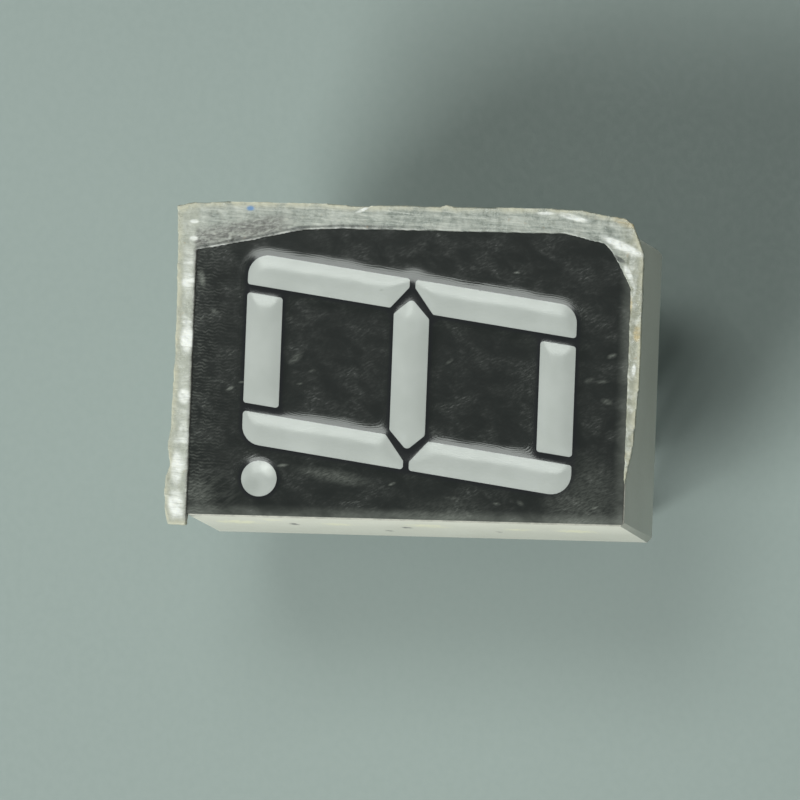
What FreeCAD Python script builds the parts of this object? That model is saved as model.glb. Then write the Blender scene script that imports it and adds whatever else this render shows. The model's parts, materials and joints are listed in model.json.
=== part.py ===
# Single-digit LED segment display of the potted kind, as a parametric document.
#
# Millimetres. +Z points out of the face, +Y up the digit and +X to the digit's right.
# The origin is the centre of the pin pattern on the seating plane, which is the shell's back rim.
import FreeCAD, Part
import math
import os
import re

import Sketcher
from FreeCAD import Rotation, Vector

# ---------------------------------------------------------------- driving dimensions, mm and degrees
SIZES = {
    # pins, in two rows
    "pin_pitch": 2.54,
    "row_spacing": 15.24,
    "pin_diameter": 0.5,
    "pin_length": 6.0,
    "pin_root": 0.56,
    # moulded shell, which reaches past the outermost pins by its two margins
    "side_margin": 1.22,
    "end_margin": 1.88,
    "body_depth": 8.0,
    "side_draft": 0.6,
    "corner_cut": 0.2,
    "mask_margin": 0.06,
    "shell_wall": 0.6,
    "face_plate": 1.2,
    "cavity_round": 0.3,
    "mask_thickness": 0.05,
    # the digit, measured before it is slanted
    "digit_width": 8.14,
    "digit_height": 14.2,
    "slant": 8,
    "stroke_width": 1.37,
    "bar_height": 1.53,
    "stroke_gap": 0.345,
    "middle_gap": 0.25,
    "mitre_run": 1.0,
    "mitre_drop": 0.8,
    "middle_reach": 3.23,
    "middle_tip": 0.75,
    "outer_corner": 0.85,
    "point_right": 4.59,
    "point_down": 6.3,
    "point_diameter": 1.53,
    # how the resin stands proud of the mask in each window
    "crown_height": 0.06,
    "crown_draft": 45,
    # the windows run straight for a short way, then the wells narrow towards the board
    "window_land": 0.6,
    "well_draft": 3,
    "core_wall": 0.4,
    # board, foil and dies
    "board_setback": 1.4,
    "board_thickness": 1.0,
    "board_clearance": 0.1,
    "copper_thickness": 0.05,
    "track_width": 0.35,
    "pin_pad": 0.96,
    "die_pad": 0.4,
    "bond_pad": 0.3,
    "die_width": 0.3,
    "die_thickness": 0.2,
    "die_bevel": 0.04,
    "bond_wire": 0.05,
    "bond_span": 1.0,
    "bond_rise": 0.45,
    "bond_crest": 0.4,
    "point_span": 0.55,
    # joints between the pins and the foil
    "solder_rise": 0.3,
    "solder_bevel": 0.2,
    "joint_clearance": 0.1,
    # the pour
    "potting_recess": 0.15,
    "flash_left": 0.9,
    "flash_top": 0.4,
    "flash_bottom": 0.68,
    "flash_corner": 0.32,
    "flash_lift": 0.1,
    "flash_edge": 0.25,
    "flash_depth": 0.9,
    "low_creep_width": 1.05,
    "low_creep_height": 6.1,
    "high_creep_width": 2.3,
    "high_creep_height": 2.8,
}

SHEET_NAME = "Sizes"
FLAT = 1e-5
PINS_PER_ROW = 5
ROW_HALF_STEPS = (PINS_PER_ROW - 1) / 2
ROUNDEST_CORNER = 0.8  # the largest share of a stroke's width that its round corner may take
FURTHEST_OUT = 1.3  # no point of the rim's edge stands out by more than this share of its side's overhang

# how the rim's inner edge runs at the two corners that it creeps over: (share of width, share of height)
LOW_CREEP = ((0, 1), (0.11, 0.72), (0.55, 0.4), (1, 0))
HIGH_CREEP = ((1, 0), (0.68, 0.13), (0.32, 0.31), (0.18, 0.41), (0.12, 0.63), (0, 1))

doc = FreeCAD.newDocument("segment_display")
sheet = doc.addObject("Spreadsheet::Sheet", SHEET_NAME)
for row, (alias, number) in enumerate(SIZES.items(), start=1):
    sheet.set(f"A{row}", alias.replace("_", " "))
    sheet.set(f"B{row}", str(number))
    sheet.setAlias(f"B{row}", alias)
doc.recompute()


# ---------------------------------------------------------------- expressions
def ref(expression):
    """The expression with every size's name pointed at its cell."""
    return re.sub(r"[a-z_]+", lambda word: cell_name(word.group()), str(expression))


def cell_name(word):
    """A size's full name in the document, or the word itself where it is a function's name."""
    return f"{SHEET_NAME}.{word}" if word in SIZES else word


def value(expression):
    """The expression's number, from the sheet."""
    return float(sheet.evalExpression(ref(expression)))


def bind(item, attribute, expression):
    """Ties one property of a document object to the sheet."""
    item.setExpression(attribute, ref(expression))


# heights above the seating plane
BOARD_FRONT = "(board_setback + board_thickness)"
FOIL_TOP = f"({BOARD_FRONT} + copper_thickness)"
SHELL_FRONT = "(body_depth - mask_thickness)"
PLATE_BACK = f"({SHELL_FRONT} - face_plate)"
PLATE_MIDDLE = f"({SHELL_FRONT} - face_plate / 2)"
WINDOW_BACK = "(body_depth - window_land)"

# half-sizes that several pieces share
BODY_HALF_WIDTH = f"({ROW_HALF_STEPS} * pin_pitch + side_margin)"
BODY_HALF_HEIGHT = "(row_spacing / 2 + end_margin)"
CAVITY_HALF_WIDTH = f"({BODY_HALF_WIDTH} - shell_wall)"
CAVITY_HALF_HEIGHT = f"({BODY_HALF_HEIGHT} - shell_wall)"
MASK_HALF_WIDTH = f"({BODY_HALF_WIDTH} - {SHELL_FRONT} * tan(side_draft) - mask_margin)"
MASK_HALF_HEIGHT = f"({BODY_HALF_HEIGHT} - {SHELL_FRONT} * tan(side_draft) - mask_margin)"


# ---------------------------------------------------------------- sketches
def origin_plane(body, role):
    """One of the body's own base planes or axes."""
    return next(item for item in body.Origin.OriginFeatures if item.Role == role)


class Drawing:
    """An empty sketch on a plane of a body, raised to a height along the plane's normal.

    Its geometry is drawn first, and all its constraints are added together at the end.
    """

    def __init__(self, body, label, height="0", plane="XY_Plane"):
        self.sketch = body.newObject("Sketcher::SketchObject", label)
        self.sketch.AttachmentSupport = (origin_plane(body, plane), [""])
        self.sketch.MapMode = "FlatFace"
        self.sketch.AttachmentOffset = FreeCAD.Placement(Vector(0, 0, value(height)), Rotation())
        bind(self.sketch, ".AttachmentOffset.Base.z", height)
        self.constraints = []
        self.sizes = {}

    def draw(self, shape, construction=False):
        """Adds one piece of geometry and gives its number."""
        return self.sketch.addGeometry(shape, construction)

    def hold(self, kind, *targets):
        """Adds a relation that needs no size."""
        self.constraints.append(Sketcher.Constraint(kind, *targets))

    def fix_size(self, kind, *targets, size):
        """Adds a dimension that is tied to the sheet."""
        self.sizes[len(self.constraints)] = size
        self.constraints.append(Sketcher.Constraint(kind, *targets, value(size)))

    def fix_point(self, element, vertex, x, y):
        """Holds one point at (x, y) from the sketch's origin."""
        self.fix_size("DistanceX", -1, 1, element, vertex, size=x)
        self.fix_size("DistanceY", -1, 1, element, vertex, size=y)

    def finish(self):
        """Adds the constraints and gives the finished sketch."""
        self.sketch.addConstraint(self.constraints)
        for index, size in self.sizes.items():
            bind(self.sketch, f"Constraints[{index}]", size)
        return self.sketch


def counter_clockwise(corners):
    """The corners in the order in which the sketcher's arcs run."""
    places = [(value(corner[0]), value(corner[1])) for corner in corners]
    twice_area = sum(
        places[index - 1][0] * places[index][1] - places[index][0] * places[index - 1][1]
        for index in range(len(places))
    )
    return corners if twice_area > 0 else corners[::-1]


def draw_outline(drawing, corners):
    """Draws a closed outline; each corner is (x, y), or (x, y, radius) where it is round."""
    corners = counter_clockwise(corners)
    count = len(corners)
    points = [Vector(value(corner[0]), value(corner[1]), 0) for corner in corners]
    arrivals, crests, departures = [], [], []
    for index, (point, corner) in enumerate(zip(points, corners)):
        radius = value(corner[2]) if len(corner) > 2 else 0
        back = (points[index - 1] - point).normalize()
        ahead = (points[(index + 1) % count] - point).normalize()
        half_angle = math.acos(back.dot(ahead)) / 2
        arrivals.append(point + back * (radius / math.tan(half_angle)))
        departures.append(point + ahead * (radius / math.tan(half_angle)))
        crests.append(point + (back + ahead).normalize() * radius * (1 / math.sin(half_angle) - 1))
    sides = [drawing.draw(Part.LineSegment(departures[index - 1], arrivals[index])) for index in range(count)]
    for index, (x, y, *radius) in enumerate(corners):
        side, next_side = sides[index], sides[(index + 1) % count]
        if not radius:
            drawing.hold("Coincident", side, 2, next_side, 1)
            drawing.fix_point(side, 2, x, y)
            continue
        turn = drawing.draw(Part.Arc(arrivals[index], crests[index], departures[index]))
        mark = drawing.draw(Part.Point(points[index]), construction=True)
        drawing.hold("Tangent", side, 2, turn, 1)
        drawing.hold("Tangent", turn, 2, next_side, 1)
        drawing.fix_size("Radius", turn, size=radius[0])
        drawing.hold("PointOnObject", mark, 1, side)
        drawing.hold("PointOnObject", mark, 1, next_side)
        drawing.fix_point(mark, 1, x, y)


def outlines(body, label, height, shapes, plane="XY_Plane"):
    """A sketch of closed outlines, each a list of corners."""
    drawing = Drawing(body, label, height, plane)
    for corners in shapes:
        draw_outline(drawing, corners)
    return drawing.finish()


def circles(body, label, height, centres, diameter):
    """A sketch of equal circles."""
    drawing = Drawing(body, label, height)
    for x, y in centres:
        ring = drawing.draw(Part.Circle(Vector(value(x), value(y), 0), Vector(0, 0, 1), value(diameter) / 2))
        drawing.fix_size("Diameter", ring, size=diameter)
        drawing.fix_point(ring, 3, x, y)
    return drawing.finish()


def octagon(across, centre=("0", "0")):
    """The corners of a regular octagon, from its width across the flats."""
    x, y = centre
    flat, corner = f"{across} / 2", f"{across} / 2 * tan(22.5)"
    corners = []
    for right, up in ((1, 1), (-1, 1), (-1, -1), (1, -1)):
        pair = [
            (f"{x} + {right} * {flat}", f"{y} + {up} * {corner}"),
            (f"{x} + {right} * {corner}", f"{y} + {up} * {flat}"),
        ]
        corners += pair if right == up else pair[::-1]
    return corners


def rectangle(half_width, half_height, *radius, middle="0", lean="0"):
    """The corners of a rectangle; its middle lies on the Y axis before it leans over with the digit."""
    corners = []
    for right, up in ((-1, -1), (1, -1), (1, 1), (-1, 1)):
        y = f"({middle} + {up} * ({half_height}))"
        corners.append((f"{right} * ({half_width}) + {y} * tan({lean})", y, *radius))
    return corners


def cut_rectangle(half_width, half_height):
    """The corners of a rectangle about the origin whose own corners are cut across."""
    corners = []
    for right, up in ((1, 1), (-1, 1), (-1, -1), (1, -1)):
        pair = [
            (f"{right} * ({half_width})", f"{up} * ({half_height} - corner_cut)"),
            (f"{right} * ({half_width} - corner_cut)", f"{up} * ({half_height})"),
        ]
        corners += pair if right == up else pair[::-1]
    return corners


# ---------------------------------------------------------------- features
def new_body(label):
    """An empty PartDesign body."""
    body = doc.addObject("PartDesign::Body", label)
    body.Label = label
    return body


def extrude(body, kind, label, sketch, length, reverse=False, taper="0"):
    """A pad or pocket of a sketch; its length and taper are tied to the sheet."""
    feature = body.newObject(f"PartDesign::{kind}", label)
    feature.Profile = sketch
    feature.Reversed = reverse
    feature.Length = value(length)
    bind(feature, "Length", length)
    if taper != "0":
        feature.TaperAngle = value(taper)
        bind(feature, "TaperAngle", taper)
    return feature


def place(item, x, y, z, turn="0"):
    """Puts an item at (x, y, z), turned about the vertical, all tied to the sheet."""
    angle = value(turn)
    item.Placement = FreeCAD.Placement(Vector(value(x), value(y), value(z)), Rotation(angle, 0, 0))
    for axis, distance in (("x", x), ("y", y), ("z", z)):
        bind(item, f".Placement.Base.{axis}", distance)
    if turn != "0":
        bind(item, ".Placement.Rotation.Angle", turn)


def bevel_top(body, block, height, size):
    """Bevels the edges of a block that lie flat at a height above the body's base plane."""
    block.recompute(True)
    level = value(height)
    bevel = body.newObject("PartDesign::Chamfer", "bevel")
    bevel.Base = (block, [
        f"Edge{number}"
        for number, edge in enumerate(block.Shape.Edges, start=1)
        if abs(edge.BoundBox.ZMin - level) < FLAT and abs(edge.BoundBox.ZMax - level) < FLAT
    ])
    bevel.Size = value(size)
    bind(bevel, "Size", size)


def fuse(label, pieces):
    """Touching pieces joined into one."""
    feature = doc.addObject("Part::MultiFuse", label)
    feature.Shapes = pieces
    feature.Refine = True
    return feature


def cut(label, base, tools):
    """The base with every tool taken out of it."""
    tool = tools[0]
    if len(tools) > 1:
        tool = doc.addObject("Part::Compound", f"{label}_tools")
        tool.Links = tools
    feature = doc.addObject("Part::Cut", label)
    feature.Base = base
    feature.Tool = tool
    feature.Refine = True
    return feature


# ---------------------------------------------------------------- the digit
class Segment:
    """One straight lit area of the face.

    Its centre and corners are (right, up) before the slant. A corner may have a radius as well.
    """

    def __init__(self, name, centre, corners, pin, bond_way):
        self.name = name
        self.centre = centre
        self.corners = corners
        self.pin = pin
        self.bond_way = bond_way
        self.span = "bond_span"

    def window(self):
        """The outline at the face, with its round corner."""
        return [(f"{right} + {up} * tan(slant)", up, *radius) for right, up, *radius in self.corners]

    def well_mouth(self):
        """The outline with its round corner cut straight across, so that the well has flat sides."""
        corners = []
        for right, up, *radius in self.corners:
            places = [(right, up)]
            if radius:
                places = [
                    (right, f"({up} * (1 - {radius[0]} / abs({up})))"),
                    (f"({right} * (1 - {radius[0]} / abs({right})))", up),
                ]
            corners += [(f"{along} + {above} * tan(slant)", above) for along, above in places]
        return corners

    def seat(self):
        """The middle of the well on the board, where the die sits."""
        right, up = self.centre
        return f"({right} + {up} * tan(slant))", up

    def bond_turn(self):
        """The direction from the die to its bond pad, in degrees from +X."""
        return {"right": "0", "left": "180", "up": "(90 - slant)", "down": "(270 - slant)"}[self.bond_way]

    def bond_point(self):
        """The middle of the bond pad."""
        x, y = self.seat()
        turn = self.bond_turn()
        return f"({x} + {self.span} * cos({turn}))", f"({y} + {self.span} * sin({turn}))"


class RoundPoint(Segment):
    """The decimal point, over a straight round well."""

    def __init__(self, name, pin):
        super().__init__(name, ("point_right", "-1 * point_down"), [], pin, "down")
        self.span = "point_span"

    def seat(self):
        right, up = self.centre
        return right, f"({up} + point_span / 2)"

    def bond_turn(self):
        return "270"


def upright_stroke(name, side, half, pin):
    """A side stroke, left (-1) or right (1), lower (-1) or upper (1): one round corner and one mitre."""
    outer = f"{side} * digit_width / 2"
    inner = f"{side} * (digit_width / 2 - stroke_width)"
    far = f"{half} * digit_height / 2"
    near = f"{half} * middle_gap / 2"
    mitre_start = f"{half} * (middle_gap / 2 + mitre_drop)"
    mitre_end = f"{side} * (digit_width / 2 - stroke_width + mitre_run)"
    corners = [
        (outer, far, f"min(outer_corner; stroke_width * {ROUNDEST_CORNER})"),
        (inner, far),
        (inner, mitre_start),
        (mitre_end, near),
        (outer, near),
    ]
    centre = (
        f"{side} * (digit_width / 2 - stroke_width / 2)",
        f"{half} * (digit_height / 4 + middle_gap / 4)",
    )
    return Segment(name, centre, corners, pin, "down" if half < 0 else "up")


def level_bar(name, half, pin):
    """The top (1) or bottom (-1) bar, between the two strokes."""
    reach = "(digit_width / 2 - stroke_width - stroke_gap)"
    outer = f"{half} * digit_height / 2"
    inner = f"{half} * (digit_height / 2 - bar_height)"
    corners = [(f"-1 * {reach}", outer), (reach, outer), (reach, inner), (f"-1 * {reach}", inner)]
    centre = ("0", f"{half} * (digit_height / 2 - bar_height / 2)")
    return Segment(name, centre, corners, pin, "right" if half > 0 else "left")


def middle_bar(name, pin):
    """The middle bar, with a pointed tip at each end."""
    shoulder = "(middle_reach - middle_tip)"
    corners = [
        ("-1 * middle_reach", "0"),
        (f"-1 * {shoulder}", "-1 * bar_height / 2"),
        (shoulder, "-1 * bar_height / 2"),
        ("middle_reach", "0"),
        (shoulder, "bar_height / 2"),
        (f"-1 * {shoulder}", "bar_height / 2"),
    ]
    return Segment(name, ("0", "0"), corners, pin, "left")


STROKES = [
    level_bar("a", 1, 7),
    upright_stroke("b", 1, 1, 6),
    upright_stroke("c", 1, -1, 4),
    level_bar("d", -1, 2),
    upright_stroke("e", -1, -1, 1),
    upright_stroke("f", -1, 1, 9),
    middle_bar("g", 10),
]
POINT = RoundPoint("point", 5)
SEGMENTS = [*STROKES, POINT]
COMMON_PINS = (3, 8)


def pin_place(number):
    """Where a pin stands: 1 to 5 run right along the bottom row, 6 to 10 back left along the top row."""
    bottom = number <= PINS_PER_ROW
    steps = number - 1 if bottom else 2 * PINS_PER_ROW - number
    column = steps - ROW_HALF_STEPS
    return f"{column} * pin_pitch", f"{-1 if bottom else 1} * row_spacing / 2"


PIN_NUMBERS = range(1, 2 * PINS_PER_ROW + 1)
ROOT_OUTLINES = [octagon("pin_root", pin_place(number)) for number in PIN_NUMBERS]


# ---------------------------------------------------------------- moulded parts
def make_light_form():
    """The resin that fills the wells: from the board, through the windows and up to the crowns."""
    body = new_body("light_form")
    shaft = circles(body, "point_ring", BOARD_FRONT, [POINT.centre], "point_diameter")
    extrude(body, "Pad", "point_well", shaft, f"body_depth + crown_height - {BOARD_FRONT}")
    mouths = outlines(body, "well_mouths", WINDOW_BACK, [stroke.well_mouth() for stroke in STROKES])
    depth = f"{WINDOW_BACK} - {BOARD_FRONT}"
    extrude(body, "Pad", "wells", mouths, depth, reverse=True, taper="-1 * well_draft")
    windows = [stroke.window() for stroke in STROKES]
    extrude(body, "Pad", "windows", outlines(body, "window_outlines", WINDOW_BACK, windows), "window_land")
    crowns = outlines(body, "crown_outlines", "body_depth", windows)
    extrude(body, "Pad", "crowns", crowns, "crown_height", taper="-1 * crown_draft")
    return body


def make_housing(light_form):
    """The white moulded shell: drafted walls, a face plate and a core that walls in the wells."""
    body = new_body("shell_form")
    rim = outlines(body, "back_rim", "0", [cut_rectangle(BODY_HALF_WIDTH, BODY_HALF_HEIGHT)])
    extrude(body, "Pad", "blank", rim, SHELL_FRONT, taper="-1 * side_draft")
    mouth = outlines(body, "cavity_mouth", "0", [rectangle(CAVITY_HALF_WIDTH, CAVITY_HALF_HEIGHT, "cavity_round")])
    extrude(body, "Pocket", "cavity", mouth, PLATE_BACK, reverse=True)
    core_height = f"{PLATE_MIDDLE} - {FOIL_TOP}"
    counter_width = "digit_width / 2 - stroke_width - core_wall"
    counter_height = "((digit_height - 3 * bar_height) / 4 - core_wall)"
    counter_middle = "(digit_height - bar_height) / 4"
    core = outlines(body, "core_outlines", FOIL_TOP, [
        rectangle("digit_width / 2 + core_wall", "digit_height / 2 + core_wall", lean="slant"),
        rectangle(counter_width, counter_height, middle=counter_middle, lean="slant"),
        rectangle(counter_width, counter_height, middle=f"-1 * {counter_middle}", lean="slant"),
    ])
    extrude(body, "Pad", "core", core, core_height, taper="side_draft")
    sleeve = circles(body, "point_sleeve_ring", FOIL_TOP, [POINT.centre], "point_diameter + 2 * core_wall")
    extrude(body, "Pad", "point_sleeve", sleeve, core_height)
    relief_width = f"{ROW_HALF_STEPS} * pin_pitch + pin_pad / 2 + joint_clearance"
    relief = outlines(body, "joint_relief_outlines", FOIL_TOP, [
        rectangle(relief_width, "pin_pad / 2 + joint_clearance", middle=f"{side} * row_spacing / 2")
        for side in (-1, 1)
    ])
    extrude(body, "Pocket", "joint_reliefs", relief, "solder_rise + joint_clearance", reverse=True)
    return cut("reflector_housing", body, [light_form])


def make_mask(light_form):
    """The black layer on the face plate, with a window over each well."""
    body = new_body("mask_form")
    layer = outlines(body, "mask_outline", SHELL_FRONT, [cut_rectangle(MASK_HALF_WIDTH, MASK_HALF_HEIGHT)])
    extrude(body, "Pad", "layer", layer, "mask_thickness")
    return cut("face_mask", body, [light_form])


def make_board():
    """The circuit board that closes the shell from behind, drilled for the pins."""
    body = new_body("circuit_board")
    half_width, half_height = f"{CAVITY_HALF_WIDTH} - board_clearance", f"{CAVITY_HALF_HEIGHT} - board_clearance"
    edge = outlines(body, "board_outline", "board_setback", [rectangle(half_width, half_height, "cavity_round")])
    extrude(body, "Pad", "plate", edge, "board_thickness")
    holes = outlines(body, "hole_outlines", "board_setback", ROOT_OUTLINES)
    extrude(body, "Pocket", "pin_holes", holes, "board_thickness", reverse=True)
    return body


# ---------------------------------------------------------------- foil, dies and wires
def strip(label, *ends):
    """A straight strip of foil between two (x, y) points, half a track's width past each."""
    foil = doc.addObject("Part::Box", label)
    (x, y), (far_x, far_y) = sorted(ends, key=lambda end: value(end[1]))
    bind(foil, "Length", f"sqrt(pow({far_x} - {x}; 2) + pow({far_y} - {y}; 2)) + track_width")
    bind(foil, "Width", "track_width")
    bind(foil, "Height", "copper_thickness")
    turn = f"atan2({far_y} - {y}; {far_x} - {x})"
    place(foil, f"{x} - cos({turn}) * track_width / 2 + sin({turn}) * track_width / 2",
          f"{y} - sin({turn}) * track_width / 2 - cos({turn}) * track_width / 2", BOARD_FRONT, turn)
    return foil


def square_pad(label, centre, side):
    """A square of foil about a point."""
    pad = doc.addObject("Part::Box", label)
    for length, size in (("Length", side), ("Width", side), ("Height", "copper_thickness")):
        bind(pad, length, size)
    x, y = centre
    place(pad, f"{x} - {side} / 2", f"{y} - {side} / 2", BOARD_FRONT)
    return pad


def pin_pad(number):
    """The eight-sided pad about one pin."""
    pad = doc.addObject("Part::Prism", f"pin_pad_{number}")
    pad.Polygon = 8
    bind(pad, "Circumradius", "pin_pad / 2 / cos(22.5)")
    bind(pad, "Height", "copper_thickness")
    place(pad, *pin_place(number), BOARD_FRONT, "22.5")
    return pad


def make_copper():
    """The etched foil: a common net under all the dies, and a net from each bond pad to its pin."""
    by_name = {segment.name: segment for segment in SEGMENTS}
    seats = {name: segment.seat() for name, segment in by_name.items()}
    common = [
        strip("spine", *[pin_place(number) for number in COMMON_PINS]),
        strip("lower_branch", seats["e"], seats["c"]),
        strip("upper_branch", seats["f"], seats["b"]),
        strip("bottom_spur", ("0", seats["d"][1]), seats["d"]),
        strip("top_spur", ("0", seats["a"][1]), seats["a"]),
        strip("point_spur", seats["c"], seats["point"]),
    ]
    common += [pin_pad(number) for number in COMMON_PINS]
    common += [square_pad(f"die_pad_{name}", seat, "die_pad") for name, seat in seats.items()]
    nets = [fuse("common_net", common)]
    for segment in SEGMENTS:
        route = [segment.bond_point(), pin_place(segment.pin)]
        if segment.name == "g":
            edge = pin_place(segment.pin)[0]
            route.insert(1, (edge, segment.bond_point()[1]))
        tracks = [
            strip(f"track_{segment.name}_{leg}", *ends) for leg, ends in enumerate(zip(route, route[1:]), start=1)
        ]
        pads = [
            pin_pad(segment.pin),
            square_pad(f"bond_pad_{segment.name}", segment.bond_point(), "bond_pad"),
        ]
        nets.append(fuse(f"net_{segment.name}", tracks + pads))
    islands = doc.addObject("Part::Compound", "foil_islands")
    islands.Links = nets
    drill = new_body("foil_drill")
    holes = outlines(drill, "drill_outlines", "board_setback", ROOT_OUTLINES)
    extrude(drill, "Pad", "drill_rods", holes, "board_thickness + 2 * copper_thickness")
    return cut("copper_tracks", islands, [drill])


def make_die(segment):
    """One light-emitting die, a bevelled square chip on its pad."""
    body = new_body(f"led_die_{segment.name}")
    square = outlines(body, "chip_outline", "0", [rectangle("die_width / 2", "die_width / 2")])
    chip = extrude(body, "Pad", "chip", square, "die_thickness")
    bevel_top(body, chip, "die_thickness", "die_bevel")
    place(body, *segment.seat(), FOIL_TOP)
    return body


def make_bond_wire(segment):
    """One wire, square in section: up from the die, across, and down to the bond pad."""
    body = new_body(f"bond_wire_{segment.name}")
    span, half = segment.span, "bond_wire / 2"
    bend = f"{span} * bond_crest"
    fall = f"{half} * sqrt(1 + pow(({span} - {bend}) / bond_rise; 2))"
    side_view = outlines(body, "wire_side", f"-1 * {half}", [[
        (f"-1 * {half}", "die_thickness"),
        (half, "die_thickness"),
        (half, f"bond_rise - {half}"),
        (f"{bend} - {fall}", f"bond_rise - {half}"),
        (f"{span} - {fall}", "0"),
        (f"{span} + {fall}", "0"),
        (f"{bend} + {fall}", f"bond_rise + {half}"),
        (f"-1 * {half}", f"bond_rise + {half}"),
    ]], plane="XZ_Plane")
    extrude(body, "Pad", "wire", side_view, "bond_wire")
    place(body, *segment.seat(), FOIL_TOP, segment.bond_turn())
    return body


# ---------------------------------------------------------------- pins and their joints
def make_pin(number):
    """One pin: a round shank below the seating plane, and an eight-sided root up to the top of the foil."""
    body = new_body(f"pin_{number}")
    ring = circles(body, "shank_ring", "-1 * pin_length", [("0", "0")], "pin_diameter")
    extrude(body, "Pad", "shank", ring, "pin_length")
    extrude(body, "Pad", "root", outlines(body, "root_outline", "0", [octagon("pin_root")]), FOIL_TOP)
    place(body, *pin_place(number), "0")
    return body


def make_solder_joint(number):
    """The solder that wets the whole eight-sided pad and rises over the pin's end."""
    body = new_body(f"solder_joint_{number}")
    mound = extrude(body, "Pad", "mound", outlines(body, "joint_foot", "0", [octagon("pin_pad")]), "solder_rise")
    bevel_top(body, mound, "solder_rise", "solder_bevel")
    place(body, *pin_place(number), FOIL_TOP)
    return body


# ---------------------------------------------------------------- the pour
def make_casting(light_form, embedded):
    """The resin: every space in the shell that nothing else fills, up to the crowns in the windows."""
    body = new_body("pour_form")
    half_width, half_height = f"{CAVITY_HALF_WIDTH} + shell_wall / 2", f"{CAVITY_HALF_HEIGHT} + shell_wall / 2"
    block = outlines(body, "pour_outline", "potting_recess", [rectangle(half_width, half_height)])
    extrude(body, "Pad", "pour_block", block, f"{PLATE_MIDDLE} - potting_recess")
    return cut("epoxy_casting", fuse("whole_pour", [body, light_form]), embedded)


def flash_stations():
    """The rim's outer edge, from the top right corner round the top, left and bottom to the right.

    Each side is a list of (share of the half side, share of that side's overhang). The right side has no
    rim but at its bottom corner, so past there the edge runs inside the wall.
    """
    half_width, half_height = BODY_HALF_WIDTH, BODY_HALF_HEIGHT
    top = ((0.86, -0.7), (0.45, 0.5), (0.0, 0.95), (-0.45, 1.0), (-0.85, 0.95))
    left = (
        (0.985, 0.35), (0.95, 0.62), (0.84, 0.78), (0.76, 0.95), (0.56, 1.02), (0.18, 0.98), (0.14, 1.08),
        (0.11, 0.98), (-0.07, 1.0), (-0.27, 0.92), (-0.4, 1.0), (-0.84, 1.0), (-1.0, 0.9),
    )
    bottom = (
        (-1.08, 1.12), (-0.87, 1.0), (-0.3, 0.9), (0.1, 0.98), (0.4, 1.0), (0.5, 1.16), (0.65, 0.98),
        (0.73, 1.2), (0.84, 1.27), (0.98, 1.15),
    )
    right = ((-1.07, 1.0), (-0.93, 1.1), (-0.9, -0.9))
    stations = [(f"{along} * {half_width}", f"{half_height} + {out} * flash_top") for along, out in top]
    stations += [(f"-1 * ({half_width} + {out} * flash_left)", f"{along} * {half_height}") for along, out in left]
    stations += [(f"{along} * {half_width}", f"-1 * ({half_height} + {out} * flash_bottom)") for along, out in bottom]
    stations += [(f"{half_width} + {out} * flash_corner", f"{along} * {half_height}") for along, out in right]
    return stations


def make_flash(neighbours):
    """The rim of leaked resin: a ragged fin round three sides of the face, creeping over two corners."""
    body = new_body("flash_form")
    top = "body_depth + flash_lift"
    edge = flash_stations()
    narrow = f"(({BODY_HALF_WIDTH} - shell_wall / 2) / ({BODY_HALF_WIDTH} + {FURTHEST_OUT} * flash_left))"
    short = f"(({BODY_HALF_HEIGHT} - shell_wall / 2) / ({BODY_HALF_HEIGHT} + {FURTHEST_OUT} * flash_bottom))"
    root = [(f"({x}) * {narrow}", f"({y}) * {short}") for x, y in edge]
    fin = body.newObject("PartDesign::AdditiveLoft", "fin")
    fin.Profile = outlines(body, "fin_root", "body_depth - flash_depth", [root])
    fin.Sections = [
        outlines(body, "fin_edge", f"{top} - flash_edge", [edge]),
        outlines(body, "fin_top", top, [edge]),
    ]
    fin.Ruled = True
    left, right = f"(-1 * {MASK_HALF_WIDTH})", f"2 * {BODY_HALF_WIDTH}"
    low, high = f"(-1 * {MASK_HALF_HEIGHT})", MASK_HALF_HEIGHT
    inner_edge = [(right, low), (right, high)]
    inner_edge += [(f"{left} + {x} * high_creep_width", f"{high} - {y} * high_creep_height") for x, y in HIGH_CREEP]
    inner_edge += [(f"{left} + {x} * low_creep_width", f"{low} + {y} * low_creep_height") for x, y in LOW_CREEP]
    extrude(body, "Pocket", "clearing", outlines(body, "clear_face", top, [inner_edge]), "2 * flash_depth")
    skirt = cut("flash_on_shell", body, neighbours[:1])
    return cut("epoxy_flash", skirt, neighbours[1:])


# ---------------------------------------------------------------- assembly and export
def write_parts(nodes):
    """Checks every object and writes each node's solid to its own STEP file."""
    doc.recompute()
    for item in doc.Objects:
        if "Invalid" in item.State or "Error" in item.State:
            raise RuntimeError(f"{item.Label} did not build: {item.State}")
    for node in nodes:
        if node.Shape.isNull() or not node.Shape.isValid() or not node.Shape.Solids:
            raise RuntimeError(f"{node.Label} has no valid solid")
    os.makedirs("parts", exist_ok=True)
    for node in nodes:
        node.Shape.exportStep(f"parts/{node.Label}.step")
        print(f"{node.Label}: {len(node.Shape.Solids)} solid, {node.Shape.Volume:.3f} mm3")


light_form = make_light_form()
housing = make_housing(light_form)
mask = make_mask(light_form)
board = make_board()
copper = make_copper()
dies = [make_die(segment) for segment in SEGMENTS]
wires = [make_bond_wire(segment) for segment in SEGMENTS]
pins = [make_pin(number) for number in PIN_NUMBERS]
joints = [make_solder_joint(number) for number in PIN_NUMBERS]
casting = make_casting(light_form, [housing, mask, board, copper, *dies, *wires, *joints, *pins])
flash = make_flash([housing, mask])
write_parts([housing, mask, casting, flash, board, copper, *dies, *wires, *pins, *joints])
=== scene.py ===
"""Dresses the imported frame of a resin-potted single-digit LED display for rendering.

The frame is in metres: +Z points out of the face, +Y up the digit and +X to the digit's right, with the pins
along -Z. Sizes in this script are in millimetres, as a maker would give them, and MM turns them into metres.
"""

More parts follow.
